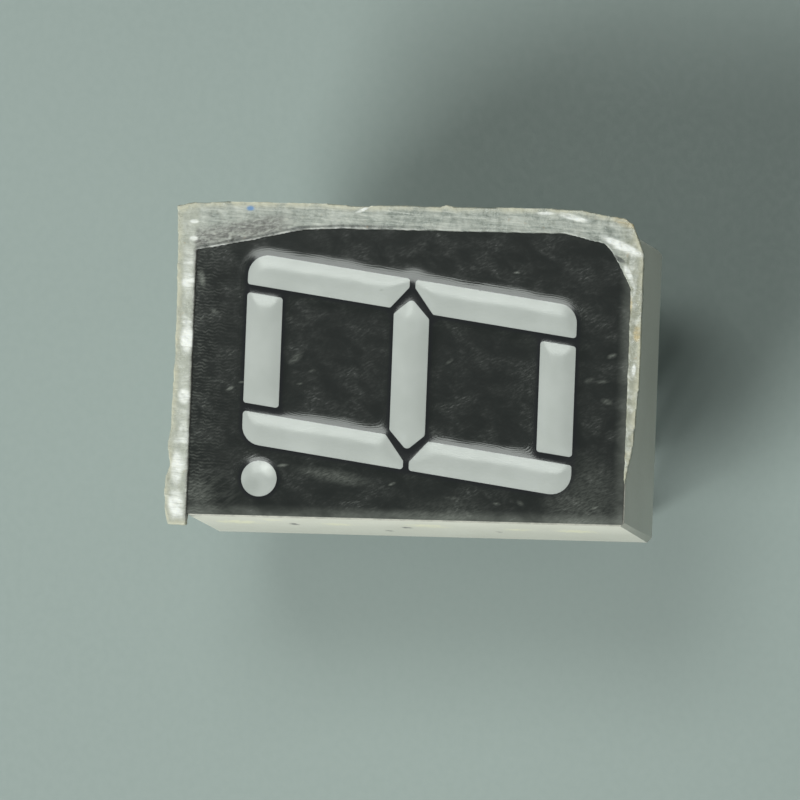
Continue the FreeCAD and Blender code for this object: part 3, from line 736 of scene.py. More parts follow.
@dataclass(frozen=True)
class LeakedResin(Finish):
    """The cloudy rim: streaks along its sides, an amber outer edge, a painted highlight along its inner edge
    and rusty specks.

    The mesh carries "inner" and "outer", how far each point is from those edges of its top. Lengths are in
    millimetres, and a pair of places is where something starts and where it is full.

    Attributes:
        amber, rust, ochre, ink: The colours of the outer edge, the specks, the scorches and the stray speck.
        cream, sallow, bright: The colours of the bottom side, of the top side, and of the top side's white
        beads and every painted highlight.
        shade, pit_shade, crest_light: The painted shadow in the furrow and in a gap between glints, and the
            rough patch's
        painted shade in its pits and painted light on its crests.
        blobs, beads, scribble: The patterns of the bottom side, of the top side and of the rough patch.
        streaks, clouds, lines, specks: Those of the left side, the whole, the short sides and the rust.
        top_side, bottom_side, bottom_highlight_span: Those sides along Y, and the bottom side's painted
        highlights along X.
        rough_start, rough_end: The rough patch by the lower left corner, along Y.
        lip_side, lip_start, lip_end: Where the left side's inner edge has its painted highlight and shadow,
            along X and
        then along Y.
        level, stray: The height of the rim's top, and where the stray speck is.
        glow_depth, glow_reach: How deep light sinks in, and each colour's share of that.
        gap_shadows, glints, scorches: The painted shadow in a gap between two glints, the painted highlights
            and the brown
        patches.
    """

    amber: Colour = (0.57, 0.55, 0.43)
    cream: Colour = (0.40, 0.41, 0.35)
    sallow: Colour = (0.33, 0.33, 0.26)
    # Painted highlight on the inner ridge, over the bottom side and in the glints; also the top side's white
    # beads.
    bright: Colour = (0.90, 0.90, 0.87)
    # Painted shadow in the furrow beside the inner ridge and in a gap between two glints.
    shade: Colour = (0.07, 0.075, 0.07)
    # Painted shade in the rough patch's pits and painted light on its crests.
    pit_shade: Colour = (0.11, 0.105, 0.10)
    crest_light: Colour = (0.37, 0.375, 0.34)
    rust: Colour = (0.40, 0.26, 0.14)
    ochre: Colour = (0.56, 0.46, 0.27)
    ink: Colour = (0.10, 0.25, 0.52)
    streaks: Pattern = Pattern((9.0, 0.7, 3.0), 6.0, 0.7, 0.8, 3.0)
    clouds: Pattern = Pattern((1.3, 1.3, 1.3), 5.0, 0.65, 0.5)
    blobs: Pattern = Pattern((1.1, 0.8, 1.0), 2.0, 0.5, 0.4)
    beads: Pattern = Pattern((2.2, 2.6, 1.0), 3.0, 0.6, 0.4)
    scribble: Pattern = Pattern((7.0, 2.6, 3.0), 4.0, 0.6, 1.0, -14.0)
    lines: Pattern = Pattern((6.0, 0.9, 1.0), 4.0, 0.65, 0.6, 4.0)
    specks: Pattern = Pattern((2.1, 2.1, 2.1), 3.0, 0.6, 0.4, 31.0)
    top_side: Span = (8.6, 9.4)
    bottom_side: Span = (-9.15, -9.45)
    bottom_highlight_span: Span = (-5.4, -4.2)
    rough_start: Span = (-4.5, -6.5)
    rough_end: Span = (-9.6, -9.3)
    lip_side: Span = (-4.6, -4.9)
    lip_start: Span = (1.0, -3.0)
    lip_end: Span = (-9.5, -9.3)
    level: float = 8.1
    glow_depth: float = 0.15
    glow_reach: Colour = (1.0, 0.95, 0.8)
    stray: Mark = Mark(-6.93, -7.1, 0.27, 0.18, 90.0, 0.85)
    # Painted shadow in the dark gap between two glints.
    gap_shadows: Marks = marks((-5.12, 8.82, 0.5, 0.15, 60.0, 0.8))
    # Painted highlights: streaks of light round the top left corner and along the sides.
    glints: Marks = marks(
        (-5.66, 8.95, 1.5, 0.3, 66.0, 1.0), (-4.5, 9.25, 0.6, 0.2, 27.0, 0.9),
        (-6.85, 6.8, 1.0, 0.2, 76.0, 0.9), (-7.0, 5.6, 0.6, 0.12, 90.0, 0.7),
        (-0.43, 9.62, 0.35, 0.14, 0.0, 0.9), (-6.95, -2.3, 0.5, 0.1, 115.0, 0.9),
        (-5.49, -6.81, 0.35, 0.09, 103.0, 0.9), (-6.32, -9.5, 0.3, 0.14, 90.0, 0.9),
        (-5.6, -9.5, 0.3, 0.16, 90.0, 0.8), (-3.75, -9.68, 0.5, 0.4, 0.0, 0.9),
        (-1.3, -9.62, 0.9, 0.45, 0.0, 1.0), (1.15, -9.66, 0.5, 0.4, 0.0, 0.9),
        (4.2, -9.85, 1.1, 0.4, 0.0, 0.8), (5.7, -9.85, 0.8, 0.5, 0.0, 0.9),
    )
    scorches: Marks = marks(
        (-6.7, 9.1, 0.9, 0.36, 75.0, 0.6), (-3.2, 9.36, 0.6, 0.17, 0.0, 0.7),
        (-1.95, 9.7, 0.55, 0.25, 0.0, 0.95),
    )

    def paint(self, shader: Shader) -> None:
        """Fills in the streaks, the edges with their painted highlights and shadows, the specks and the
        uneven gloss.

        Args:
            shader: The empty material.
        """
        streaks, clouds, blobs, beads, scribble, lines, specks = (shader.noise(pattern) for pattern in (
            self.streaks, self.clouds, self.blobs, self.beads, self.scribble, self.lines, self.specks))
        inner, outer = shader.held("inner"), shader.held("outer")
        top, bottom = shader.along("Y", *self.top_side), shader.along("Y", *self.bottom_side)
        ends = beads.over(0.42, 0.75, 0.0, 0.65).mix(self.sallow, self.bright)
        # Painted highlights: white blobs over the bottom side.
        white = outer.over(0.1, 0.45) * blobs.over(0.42, 0.64, 0.1, 0.9) * lines.over(0.34, 0.56, 0.35)
        column = (white * shader.along("X", *self.bottom_highlight_span, 0.3)).mix(self.cream, self.bright)
        rough_start, rough_end = shader.along("Y", *self.rough_start), shader.along("Y", *self.rough_end)
        # Painted shade and light of the rough patch, following the scribble that also raises its bumps.
        mottle = scribble.over(0.36, 0.66).mix(self.pit_shade, self.crest_light)
        lip_side = (shader.along("X", *self.lip_side) * shader.along("Y", *self.lip_start, 0.25)
                    * shader.along("Y", *self.lip_end))
        # Painted shadow in the furrow just outside the inner ridge.
        groove_shadow = inner.over(0.21, 0.13) * clouds.over(0.3, 0.6, 1.0, 0.5)
        # Painted highlight along the inner ridge.
        lip_highlight = inner.over(0.09, 0.05) * clouds.over(0.35, 0.65, 0.1, 0.55)
        layers = [
            (top * clouds.over(0.3, 0.6, 0.5, 0.95), ends),
            (bottom * beads.over(0.3, 0.6, 0.7), column),
            ((rough_start * inner.over(1.2, 0.5) * rough_end).weighed(0.85, smooth=True), mottle),
            (groove_shadow * lip_side, self.shade),
            (lip_highlight * lip_side, self.bright),
            (outer.over(0.32, 0.04) * clouds.over(0.35, 0.6, 0.2, 0.85), self.amber),
            (specks.over(0.66, 0.74, 0.0, 0.35), self.rust),
        ]
        broken = lines.over(0.34, 0.54, 0.4)
        # The painted shadow of the gap, the painted highlights of the glints, and the brown scorches.
        painted = zip((self.gap_shadows, self.glints, self.scorches), (self.shade, self.bright, self.ochre))
        for places, colour in painted:
            for mark in places:
                patch = shader.spot(replace(mark, height=self.level)).over(0.02, 0.7, 0.0, mark.strength)
                layers.append((patch * broken, colour))
        stray = shader.spot(replace(self.stray, height=self.level))
        layers.append((stray.over(0.0, 0.8, 0.0, self.stray.strength), self.ink))
        pale = streaks.over(0.3, 0.7, 0.0, 0.7) + clouds.over(0.3, 0.7, -0.1, 0.4)
        body = pale.mix(self.dark, self.light)
        for share, colour in layers:
            body = share.mix(body, colour)
        gloss = clouds.over(0.3, 0.7, self.rough * 0.5, self.rough * 1.5)
        shader.adjust(shader.surface, Base_Color=body, Roughness=gloss)
        shader.glow(self.glow_reach, self.glow_depth)
        shader.relief(streaks + scribble, self.depth)


@dataclass(frozen=True)
class Workshop:
    """Every finish that the display's pieces take."""

    shell: Finish = MouldedWhite("moulded_white", (0.78, 0.755, 0.67), (0.74, 0.715, 0.63), 0.42, patch=0.3,
                                 grain=8.0, depth=0.003)
    mask: Finish = Finish("printed_black", (0.022, 0.024, 0.023), (0.016, 0.018, 0.018), 0.4)
    film: Finish = MaskFilm("clear_film", (0.022, 0.0245, 0.023), (0.0145, 0.017, 0.016), 0.14, depth=0.005)
    resin: Finish = MilkyResin("milky_resin", (0.485, 0.505, 0.485), (0.455, 0.475, 0.455), 0.2, patch=0.5,
                               grain=2.0, depth=0.001)
    flash: Finish = LeakedResin("leaked_resin", (0.56, 0.57, 0.52), (0.20, 0.225, 0.20), 0.3, depth=0.02)
    board: Finish = Finish("bare_laminate", (0.52, 0.43, 0.24), (0.44, 0.35, 0.18), 0.6, grain=10.0)
    foil: Finish = Finish("etched_foil", (0.78, 0.46, 0.28), (0.60, 0.33, 0.19), 0.35, 1.0, patch=2.0)
    die: Finish = Finish("polished_die", (0.20, 0.21, 0.24), (0.13, 0.13, 0.16), 0.2, patch=4.0, grain=30.0,
                         depth=0.001)
    wire: Finish = Finish("bright_wire", (0.86, 0.86, 0.87), (0.78, 0.78, 0.80), 0.22, 1.0, patch=6.0,
                          depth=0.001)
    pin: Finish = Finish("tinned_pin", (0.72, 0.72, 0.71), (0.56, 0.56, 0.54), 0.3, 1.0, patch=1.6, grain=9.0,
                         depth=0.006)
    solder: Finish = Finish("dull_solder", (0.62, 0.62, 0.61), (0.46, 0.46, 0.46), 0.42, 1.0, patch=3.0,
                            depth=0.01)


# ---- the digit
class Side(Enum):
    """Which way a stroke or bar lies from the middle of the digit."""

    LOW = -1
    HIGH = 1


@dataclass(frozen=True)
class Digit:
    """The digit's proportions before its slant, in millimetres.

    Attributes:
        width, height, slant: Its size, and how far it leans to the right in degrees.
        stroke, bar: How wide its side strokes and its bars are.
        stroke_gap, middle_gap: The gap between a stroke and a bar, and between the two strokes of one side.
        mitre_run, mitre_drop: How far a stroke's mitre runs across it and along it.
        middle_reach, middle_tip: Half the length of the middle bar, and the length of its pointed tips.
        large_round, small_round, tip_round: The radii of the digit's corners, the others and those tips.
        point, point_width, point_steps: The decimal point's middle and width, and the points round it.
    """

    width: float = 8.14
    height: float = 14.2
    slant: float = 8.0
    stroke: float = 1.37
    bar: float = 1.53
    stroke_gap: float = 0.345
    middle_gap: float = 0.25
    mitre_run: float = 1.0
    mitre_drop: float = 0.8
    middle_reach: float = 3.23
    middle_tip: float = 0.75
    large_round: float = 0.85
    small_round: float = 0.13
    tip_round: float = 0.208
    point: Span = (4.59, -6.3)
    point_width: float = 1.53
    point_steps: int = 72

    def upper_right(self) -> tuple[list[Span], list[Span], list[Span]]:
        """The corners of the upper right stroke, of the top bar and of the middle bar, before the slant.

        Returns:
            The three lists of (right, up), in millimetres.
        """
        outer, far, near, half = self.width / 2, self.height / 2, self.middle_gap / 2, self.bar / 2
        inner, low, tip = outer - self.stroke, far - self.bar, self.middle_reach
        reach, neck = inner - self.stroke_gap, tip - self.middle_tip
        mitre = [(inner, near + self.mitre_drop), (inner + self.mitre_run, near)]
        stroke = [(outer, far), (inner, far), *mitre, (outer, near)]
        bar = [(-reach, far), (reach, far), (reach, low), (-reach, low)]
        middle = [(-tip, 0.0), (-neck, -half), (neck, -half), (tip, 0.0), (neck, half), (-neck, half)]
        return stroke, bar, middle

    def outline(self, corners: list[Span], radii: tuple[float, ...], side: Side, half: Side) -> list[Vector]:
        """Mirrors and slants a lit area, and rounds its corners.

        Args:
            corners: Its corners as it would lie in the upper right half.
            radii: The radius at each corner.
            side: Left or right of the digit.
            half: Its lower or upper half.

        Returns:
            The outline in metres, counter-clockwise, on the face's own plane.
        """
        lean = math.tan(math.radians(self.slant))
        upright = [(right * side.value, up * half.value) for right, up in corners]
        made = rounded([Vector((right + up * lean, up, 0.0)) * MM for right, up in upright], radii)
        area = sum(last.x * point.y - point.x * last.y for last, point in zip(made[-1:] + made, made))
        return made if area > 0 else made[::-1]

    def outlines(self) -> dict[str, list[Vector]]:
        """Every lit area's outline.

        Returns:
            The outlines by the lit areas' names, in metres.
        """
        low, high, small = Side.LOW, Side.HIGH, self.small_round
        radii = (self.large_round, *(small,) * 4), (small,) * 4, (self.tip_round, small, small) * 2
        stroke, bar, middle = zip(self.upper_right(), radii)
        windows = {
            "a": (*bar, high, high),
            "b": (*stroke, high, high),
            "c": (*stroke, high, low),
            "d": (*bar, high, low),
            "e": (*stroke, low, low),
            "f": (*stroke, low, high),
            "g": (*middle, high, high),
        }
        made = {name: self.outline(*window) for name, window in windows.items()}
        centre, radius = Vector((*self.point, 0.0)) * MM, self.point_width / 2 * MM
        turns = [2 * math.pi * step / self.point_steps for step in range(self.point_steps)]
        made["point"] = [centre + Vector((math.cos(turn), math.sin(turn), 0.0)) * radius for turn in turns]
        return made


def rounded(points: list[Vector], radii: Iterable[float], steps: int = 9) -> list[Vector]:
    """Rounds the corners of a closed outline.

    Args:
        points: The sharp corners, in metres.
        radii: The radius at each corner, in millimetres.
        steps: How many points each arc has.

    Returns:
        The outline's points.
    """
    made = []
    for index, (point, radius) in enumerate(zip(points, radii)):
        back = (points[index - 1] - point).normalized()
        ahead = (points[(index + 1) % len(points)] - point).normalized()
        half = back.angle(ahead) / 2
        centre = point + (back + ahead).normalized() * (radius * MM / math.sin(half))
        start, end = (point + way * (radius * MM / math.tan(half)) - centre for way in (back, ahead))
        made += [centre + start.slerp(end, step / (steps - 1)) * radius * MM for step in range(steps)]
    return made


def spaced(points: list[Vector], spacing: float) -> list[Vector]:
    """Adds points along the straight runs of a closed outline.

    Args:
        points: The outline's points, in metres.
        spacing: The longest run that stays whole, in millimetres.

    Returns:
        The outline with its added points.
    """
    made = []
    for start, end in zip(points, points[1:] + points[:1]):
        count = math.ceil((end - start).length / (spacing * MM))
        made += [start.lerp(end, step / count) for step in range(count)]
    return made


def inside_distance(points: np.ndarray, outline: np.ndarray) -> np.ndarray:
    """How far inside a convex outline each point lies.

    Args:
        points: The points, one (x, y) row each.
        outline: The outline's points, counter-clockwise.

    Returns:
        The distances, which are negative outside.
    """
    along = np.roll(outline, -1, axis=0) - outline
    inward = np.stack((-along[:, 1], along[:, 0]), axis=1) / np.linalg.norm(along, axis=1)[:, None]
    return np.min(points @ inward.T - np.sum(outline * inward, axis=1), axis=1)


def edge_distance(points: np.ndarray, edges: list[tuple[Vector, Vector]]) -> np.ndarray:
    """How far each point is from the nearest of several straight edges.

    Args:
        points: The points, one (x, y) row each.
        edges: The start and end of each edge.

    Returns:
        The distances.
    """
    nearest = np.full(len(points), np.inf)
    for start, end in np.array(edges):
        along = end - start
        share = np.clip((points - start) @ along / (along @ along), 0.0, 1.0)
        nearest = np.minimum(nearest, np.linalg.norm(points - start - share[:, None] * along, axis=1))
    return nearest


def flat_points(piece: Piece) -> np.ndarray:
    """Where a piece's points are, as (x, y) rows, in metres."""
    return np.array([vertex.co.xy for vertex in piece.data.vertices])


def carry(piece: Piece, name: str, values: np.ndarray) -> None:
    """Stores one number at each of a piece's points, for its material to read."""
    piece.data.attributes.new(name, "FLOAT", "POINT").data.foreach_set("value", values.astype(np.float32))


# ---- the body
@dataclass
class Assembly:
    """A sub-assembly of the display.

    Attributes:
        frame: The loaded frame.
        works: The finishes.
    """

    frame: dict
    works: Workshop

    @property
    def face(self) -> float:
        """The height of the black face, in metres."""
        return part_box("face_mask")[1].z

    def copy_of(self, node: str, name: str) -> Piece:
        """Copies a CAD node as a closed mesh, and leaves the node itself alone.

        Args:
            node: The CAD node's name.
            name: The name of the copy.

        Returns:
            The copy, with its doubled points merged and its flat faces made whole.
        """
        piece = bpy.data.objects.new(name, self.frame["nodes"][node].data.copy())
        bpy.context.scene.collection.objects.link(piece)
        piece.data.materials.clear()
        with editing(piece):
            bpy.ops.mesh.select_all(action="SELECT")
            bpy.ops.mesh.remove_doubles(threshold=WELD)
            bpy.ops.mesh.dissolve_limited(angle_limit=math.radians(1.0))
        return piece


@dataclass
class ResinFace(Assembly):
    """The clear and milky resin at the face: one soft surface that rises over every window, in millimetres.

    Attributes:
        digit: The digit's proportions.
        rise: How high the middle of a window stands above the face.
        inner, outer: How far the slope reaches in from a window's edge and, at the most, out from it.
        outer_share: The mean share of that reach outwards.
        outer_swings: The share, the turns for each millimetre along Y and the start of its swings.
        bridge, shore_bridge: How wide a gap the surface spans without sinking, and the film's shore likewise.
        film_thickness, soft: The thickness of the film, and how far the surface's ridges are blurred.
        root, border: How far a crown's side goes down, and the width of the plain band round its grid.
        crown_grid, film_grid: The spacing of a crown's grid and of the film's.
    """

    digit: Digit = Digit()
    rise: float = 0.115
    inner: float = 0.55
    outer: float = 0.40
    outer_share: float = 0.85
    outer_swings: tuple[tuple[float, float, float], ...] = ((0.18, 1.7, 0.6), (0.08, 4.3, 0.0))
    bridge: float = 0.8
    shore_bridge: float = 0.48
    film_thickness: float = 0.005
    soft: float = 0.13
    root: float = 0.12
    border: float = 0.04
    crown_grid: float = 0.08
    film_grid: float = 0.06

    def __post_init__(self) -> None:
        """Works out every window's outline, and the resin's height over a grid of points."""
        level, outlines = Vector((0.0, 0.0, self.face)), self.digit.outlines()
        self.outlines = {name: [point + level for point in outlines[name]] for name in outlines}
        self.low, self.high = (np.array(corner.to_2d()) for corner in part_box("face_mask"))
        self.step = self.film_grid * MM
        columns, rows = (np.arange(start, end + 2 * self.step, self.step)
                         for start, end in zip(self.low, self.high))
        grid = np.stack(np.meshgrid(columns, rows, indexing="ij"), axis=-1).reshape(-1, 2)
        reach = int(3 * self.soft / self.film_grid)
        bell = np.exp(-0.5 * (np.arange(-reach, reach + 1) * self.film_grid / self.soft) ** 2)
        self.surface = self.sharp_heights(grid).reshape(len(columns), len(rows))
        for axis in (0, 1):
            self.surface = np.apply_along_axis(np.convolve, axis, self.surface, bell / bell.sum(), "same")

    def depth(self, points: np.ndarray, bridge: float) -> np.ndarray:
        """How far inside the nearest window each point lies, in millimetres.

        Args:
            points: The points as (x, y) rows, in metres.
            bridge: How wide a gap between two windows counts as nearly closed, in millimetres.

        Returns:
            The depths, which are negative outside.
        """
        joined = np.full(len(points), -np.inf)
        for outline in self.outlines.values():
            own = inside_distance(points, np.array([point.to_2d() for point in outline])) / MM
            near = np.maximum(bridge - np.abs(joined - own), 0.0)
            joined = np.maximum(joined, own) + near**2 / (4 * bridge)
        return joined

    def heights(self, points: np.ndarray) -> np.ndarray:
        """How high the resin stands above the face, in metres, read off the blurred surface.

        Args:
            points: The points as (x, y) rows, in metres.

        Returns:
            The heights.
        """
        last = np.array(self.surface.shape) - 1.001  # just short of the last cell
        places = np.clip((points - self.low) / self.step, 0.0, last)
        column, row = places.astype(int).T
        right, up = (places - np.floor(places)).T
        below = self.surface[column, row] * (1 - right) + self.surface[column + 1, row] * right
        above = self.surface[column, row + 1] * (1 - right) + self.surface[column + 1, row + 1] * right
        return below * (1 - up) + above * up

    def sharp_heights(self, points: np.ndarray) -> np.ndarray:
        """The heights in metres before the ridges are blurred.

        Args:
            points: The points as (x, y) rows, in metres.

        Returns:
            The heights.
        """
        along = points[:, 1] / MM
        swings = sum(share * np.sin(along * pace + start) for share, pace, start in self.outer_swings)
        reach = self.outer * (self.outer_share + swings)
        share = np.clip((self.depth(points, self.bridge) + reach) / (self.inner + reach), 0.0, 1.0)
        return self.rise * MM * share**2 * (3 - 2 * share)

    def lift(self, piece: Piece, layers: int) -> None:
        """Raises a flat piece's points to the resin's surface.

        Args:
            piece: The flat piece.
            layers: How many thicknesses of the film it lies above that surface.
        """
        heights = self.heights(flat_points(piece)) + layers * self.film_thickness * MM
        with editing(piece) as mesh:
            for vertex, height in zip(mesh.verts, heights):
                vertex.co.z += height

    def crown(self, name: str) -> Piece:
        """The domed front of one lit area, with a side wall that goes down into its window.

        Args:
            name: The lit area.

        Returns:
            The crown.
        """
        piece = trace(f"crown_{name}", spaced(self.outlines[name], self.crown_grid))
        with editing(piece) as mesh:
            bpy.ops.mesh.select_all(action="SELECT")
            bpy.ops.mesh.inset(thickness=self.border * MM, use_boundary=True, use_even_offset=True)
            for axis in (Vector((1.0, 0.0, 0.0)), Vector((0.0, 1.0, 0.0))):
                places = [point.dot(axis) for point in self.outlines[name]]
                start, width = min(places), max(places) - min(places)
                count = int(width / (self.crown_grid * MM))
                for step in range(1, count):
                    choose(piece, mesh.faces, lambda face: not any(point.is_boundary for point in face.verts))
                    at = axis * (start + width * step / count)
                    bpy.ops.mesh.bisect(plane_co=at, plane_no=axis, threshold=SLIVER)
            choose(piece, mesh.verts, lambda vertex: not vertex.is_boundary)
            bpy.ops.mesh.remove_doubles(threshold=self.border * MM / 3)
        self.lift(piece, 2)
        with editing(piece) as mesh:
            choose(piece, mesh.edges, lambda edge: edge.is_boundary)
            bpy.ops.mesh.extrude_edges_move(TRANSFORM_OT_translate={"value": (0.0, 0.0, -self.root * MM)})
        return piece

    def film(self) -> Piece:
        """The thin film over the whole black face, open under each window's resin.

        Returns:
            The film.
        """
        width, height = self.high - self.low
        counts = {"x_subdivisions": int(width / self.step), "y_subdivisions": int(height / self.step)}
        pick()
        bpy.ops.mesh.primitive_grid_add(**counts, size=1.0, location=(0.0, 0.0, self.face))
        film = added("clear_face_film", (width, height, 1.0))
        carry(film, "shore", -self.depth(flat_points(film), self.shore_bridge))
        covered = self.depth(flat_points(film), self.film_thickness) > self.film_grid
        self.lift(film, 1)
        with editing(film) as mesh:
            choose(film, mesh.faces, lambda face: all(covered[vertex.index] for vertex in face.verts))
            bpy.ops.mesh.delete(type="FACE")
        return film

    def build(self) -> Piece:
        """Makes the film, and every crown.

        Returns:
            The crowns, joined.
        """
        film = self.film()
        shade(film, angle=60.0)
        dress(film, self.works.film, "mask")
        crowns = [self.crown(name) for name in self.outlines]
        join(*crowns)
        return crowns[0]


@dataclass
class Casting(Assembly):
    """The whole pour: the CAD solid below the face, with the soft crowns in its windows."""

    def build(self, crowns: Piece) -> None:
        """Takes the flat crowns off a copy of the solid and sets the soft ones on it.

        Args:
            crowns: The soft crowns, joined.
        """
        body = self.copy_of("epoxy_casting", "cast_resin")
        level = self.face - HAIR
        with editing(body) as mesh:
            choose(body, mesh.faces, lambda face: all(vertex.co.z > level for vertex in face.verts))
            bpy.ops.mesh.delete(type="FACE")
        join(body, crowns)
        shade(body, angle=35.0)
        dress(body, self.works.resin, "resin", "epoxy_casting")


@dataclass
class Shell(Assembly):
    """The moulded housing, with its edges softened to a radius in millimetres."""

    edge_round: float = 0.07

    def build(self) -> None:
        """Softens the edges of a copy of the housing."""
        shell = self.copy_of("reflector_housing", "moulded_shell")
        soften(shell, self.edge_round, segments=2, angle=50.0)
        shade(shell, angle=35.0)
        dress(shell, self.works.shell, "shell", "reflector_housing")


@dataclass
class Rim(Assembly):
    """The leaked resin round the face, rough as it set. Lengths are in millimetres.

    Attributes:
        voxel, lumps: The size of the finest lump, and the size and height of each layer of lumps.
        corner, corner_pull: Where the lower left corner starts along X and Y, and how far it is drawn to the
            left for each millimetre below that.
        slack: How far outside the mask the inner edge may lie.
    """

    voxel: float = 0.05
    lumps: tuple[Span, ...] = ((0.7, 0.06), (0.22, 0.04), (0.09, 0.015))
    corner: Span = (-6.0, -9.4)
    corner_pull: float = 0.2
    slack: float = 0.05

    def top_edges(self, rim: Piece) -> dict[str, list[tuple[Vector, Vector]]]:
        """Finds the edges round the rim's flat top.

        Args:
            rim: The rim as the frame has it.

        Returns:
            The start and end of each edge of its inner and of its outer outline.
        """
        level = max(vertex.co.z for vertex in rim.data.vertices) - HAIR
        low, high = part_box("face_mask")
        slack = self.slack * MM
        outlines = {"inner": [], "outer": []}
        with editing(rim) as mesh:
            for edge in mesh.edges:
                start, end = (vertex.co for vertex in edge.verts)
                tops = [face for face in edge.link_faces if min(vertex.co.z for vertex in face.verts) > level]
                if min(start.z, end.z) > level and len(tops) == 1:
                    middle = (start + end) / 2
                    inner = all(low[axis] - slack < middle[axis] < high[axis] + slack for axis in (0, 1))
                    outlines["inner" if inner else "outer"].append((start.to_2d(), end.to_2d()))
        return outlines

    def build(self) -> None:
        """Roughens a copy of the rim and marks how far each point is from its edges."""
        rim = self.copy_of("epoxy_flash", "leaked_rim")
        outlines = self.top_edges(rim)
        skin = rim.modifiers.new("fine_skin", "REMESH")
        skin.mode, skin.voxel_size = "VOXEL", self.voxel * MM
        for size, height in self.lumps:
            clouds = bpy.data.textures.new(f"lumps_{size}", "CLOUDS")
            clouds.noise_scale, clouds.noise_depth = size * MM, 1
            lump = rim.modifiers.new(f"lumps_{size}", "DISPLACE")
            lump.texture, lump.texture_coords = clouds, "LOCAL"
            lump.strength, lump.mid_level = height * MM, 0.5
        apply_all(rim)
        left, low = (side * MM for side in self.corner)
        with editing(rim) as mesh:
            for vertex in mesh.verts:
                if vertex.co.x < left and vertex.co.y < low:
                    vertex.co.x -= (low - vertex.co.y) * self.corner_pull
        for name, edges in outlines.items():
            carry(rim, name, edge_distance(flat_points(rim), edges) / MM)
        shade(rim, angle=80.0)
        dress(rim, self.works.flash, "flash", "epoxy_flash")


@dataclass
class Pins(Assembly):
    """The ten tinned pins, each with its tip softened to a radius in millimetres."""

    tip_round: float = 0.08

    def build(self) -> None:
        """Rounds the tip of a copy of each pin."""
        for number in PIN_NUMBERS:
            pin = self.copy_of(f"pin_{number}", f"tinned_pin_{number}")
            soften(pin, self.tip_round, segments=3, angle=60.0)
            shade(pin, angle=40.0)
            dress(pin, self.works.pin, "pin", f"pin_{number}")


@dataclass
class Inside(Assembly):
    """The sealed pieces, which keep their CAD form and get their materials."""

    def build(self) -> None:
        """Coats the CAD nodes that stay."""
        works = self.works
        coats = {"circuit_board": works.board, "copper_tracks": works.foil, "face_mask": works.mask}
        coats.update({f"led_die_{area}": works.die for area in LIT_AREAS})
        coats.update({f"bond_wire_{area}": works.wire for area in LIT_AREAS})
        coats.update({f"solder_joint_{number}": works.solder for number in PIN_NUMBERS})
        for name, finish in coats.items():
            node = self.frame["nodes"][name]
            node.data.materials.clear()
            node.data.materials.append(finish.material())
            log.info("%s coated with %s", name, finish.name)


# ---- the studio
@dataclass(frozen=True)
class Viewpoint:
    """Where the camera stands, in millimetres and degrees.

    Attributes:
        aim: The point on the face that it looks at.
        azimuth, elevation: Its direction from there, counter-clockwise from +X, and above the face.
        roll: Its turn about its own axis from having -X upward.
        distance, lens, sensor: How far off it is, its focal length and the width of its sensor.
        sight: The nearest and the farthest that it sees.
    """

    aim: tuple[float, float, float] = (1.089, -0.366, 8.0)
    azimuth: float = 62.97
    elevation: float = 79.8
    roll: float = 2.161
    distance: float = 600.0
    lens: float = 636.1
    sensor: float = 36.0
    sight: Span = (10.0, 20000.0)

    def build(self) -> None:
        """Makes the camera and hands it to the scene."""
        camera = bpy.data.objects.new("camera", bpy.data.cameras.new("camera"))
        bpy.context.scene.collection.objects.link(camera)
        turn, lift = math.radians(self.azimuth), math.radians(self.elevation)
        back = Vector((math.cos(lift) * math.cos(turn), math.cos(lift) * math.sin(turn), math.sin(lift)))
        level = Vector((-1.0, 0.0, 0.0)).cross(back).normalized()
        right = Matrix.Rotation(math.radians(self.roll), 3, back) @ level
        place = Matrix.Translation((Vector(self.aim) + back * self.distance) * MM)
        camera.matrix_world = place @ Matrix((right, back.cross(right), back)).transposed().to_4x4()
        camera.data.lens, camera.data.sensor_width = self.lens, self.sensor
        camera.data.clip_start, camera.data.clip_end = (reach * MM for reach in self.sight)
        bpy.context.scene.camera = camera


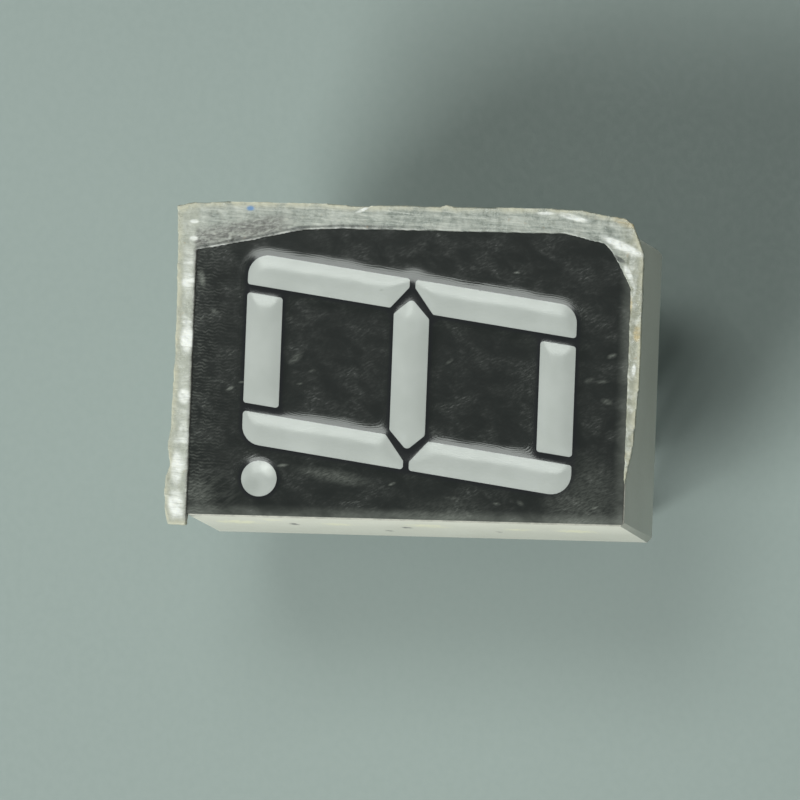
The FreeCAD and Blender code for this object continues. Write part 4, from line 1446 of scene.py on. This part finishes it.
@dataclass(frozen=True)
class Lamp:
    """One soft lamp.

    Attributes:
        name, colour: The lamp's name, and its light's colour.
        toward, distance: The direction from the display to the lamp, and how far off it is in millimetres.
        size, power: Its width and height in millimetres, and its power in watts.
    """

    name: str
    toward: tuple[float, float, float]
    distance: float
    size: Span
    power: float
    colour: Colour

    def build(self) -> None:
        """Hangs the lamp so that it faces the display."""
        light = bpy.data.lights.new(self.name, "AREA")
        light.shape = "RECTANGLE"
        light.size, light.size_y = (side * MM for side in self.size)
        light.energy, light.color = self.power, self.colour
        lamp = bpy.data.objects.new(self.name, light)
        bpy.context.scene.collection.objects.link(lamp)
        way = Vector(self.toward).normalized()
        lamp.location = way * self.distance * MM
        lamp.rotation_mode = "QUATERNION"
        lamp.rotation_quaternion = way.to_track_quat("Z", "X")


@dataclass
class Studio:
    """The camera, the lamps, the sky's even light and the floor.

    Attributes:
        viewpoint, lamps: Where the camera stands, and the lamps.
        floor_size, floor_light, floor_dark: The floor's width in metres, and the colours of its patches.
        sky_colour, sky_strength: The sky's colour, and how strong its light is.
    """

    viewpoint: Viewpoint = Viewpoint()
    floor_size: float = 3.0
    floor_light: Colour = (0.31, 0.365, 0.35)
    floor_dark: Colour = (0.30535, 0.359525, 0.34475)
    sky_colour: Colour = (0.94, 1.0, 0.97)
    sky_strength: float = 0.15
    lamps: tuple[Lamp, ...] = (
        Lamp("key", (0.70, -0.62, 0.80), 500.0, (260.0, 260.0), 2.6, (0.94, 0.985, 0.95)),
        Lamp("window", (-0.37, -0.15, 0.92), 500.0, (165.0, 190.0), 0.68, (0.94, 1.0, 0.95)),
    )

    def build(self, floor_height: float) -> None:
        """Sets up everything that isn't the display.

        Args:
            floor_height: Where the floor lies along Z, in metres.
        """
        bpy.context.scene.view_settings.view_transform = "Standard"
        self.viewpoint.build()
        for lamp in self.lamps:
            lamp.build()
        world = bpy.data.worlds.new("sky")
        world.use_nodes = True
        sky = world.node_tree.nodes["Background"]
        sky.inputs["Color"].default_value = (*self.sky_colour, 1.0)
        sky.inputs["Strength"].default_value = self.sky_strength
        bpy.context.scene.world = world
        pick()
        bpy.ops.mesh.primitive_plane_add(size=self.floor_size, location=(0.0, 0.0, floor_height))
        floor = added("floor")
        paper = Finish("floor_paper", self.floor_light, self.floor_dark, 0.7, patch=0.05, grain=3.0)
        floor.data.materials.append(paper.material())
        floor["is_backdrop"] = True


def main() -> None:
    """Builds the display's looks piece by piece and sets up the studio round it."""
    logging.basicConfig(level=logging.INFO, format="%(name)s: %(message)s")
    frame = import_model()
    works = Workshop()
    crowns = ResinFace(frame, works).build()
    Casting(frame, works).build(crowns)
    for assembly in (Shell, Rim, Pins, Inside):
        assembly(frame, works).build()
    Studio().build(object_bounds()[0].z)


if __name__ == "__main__":
    main()
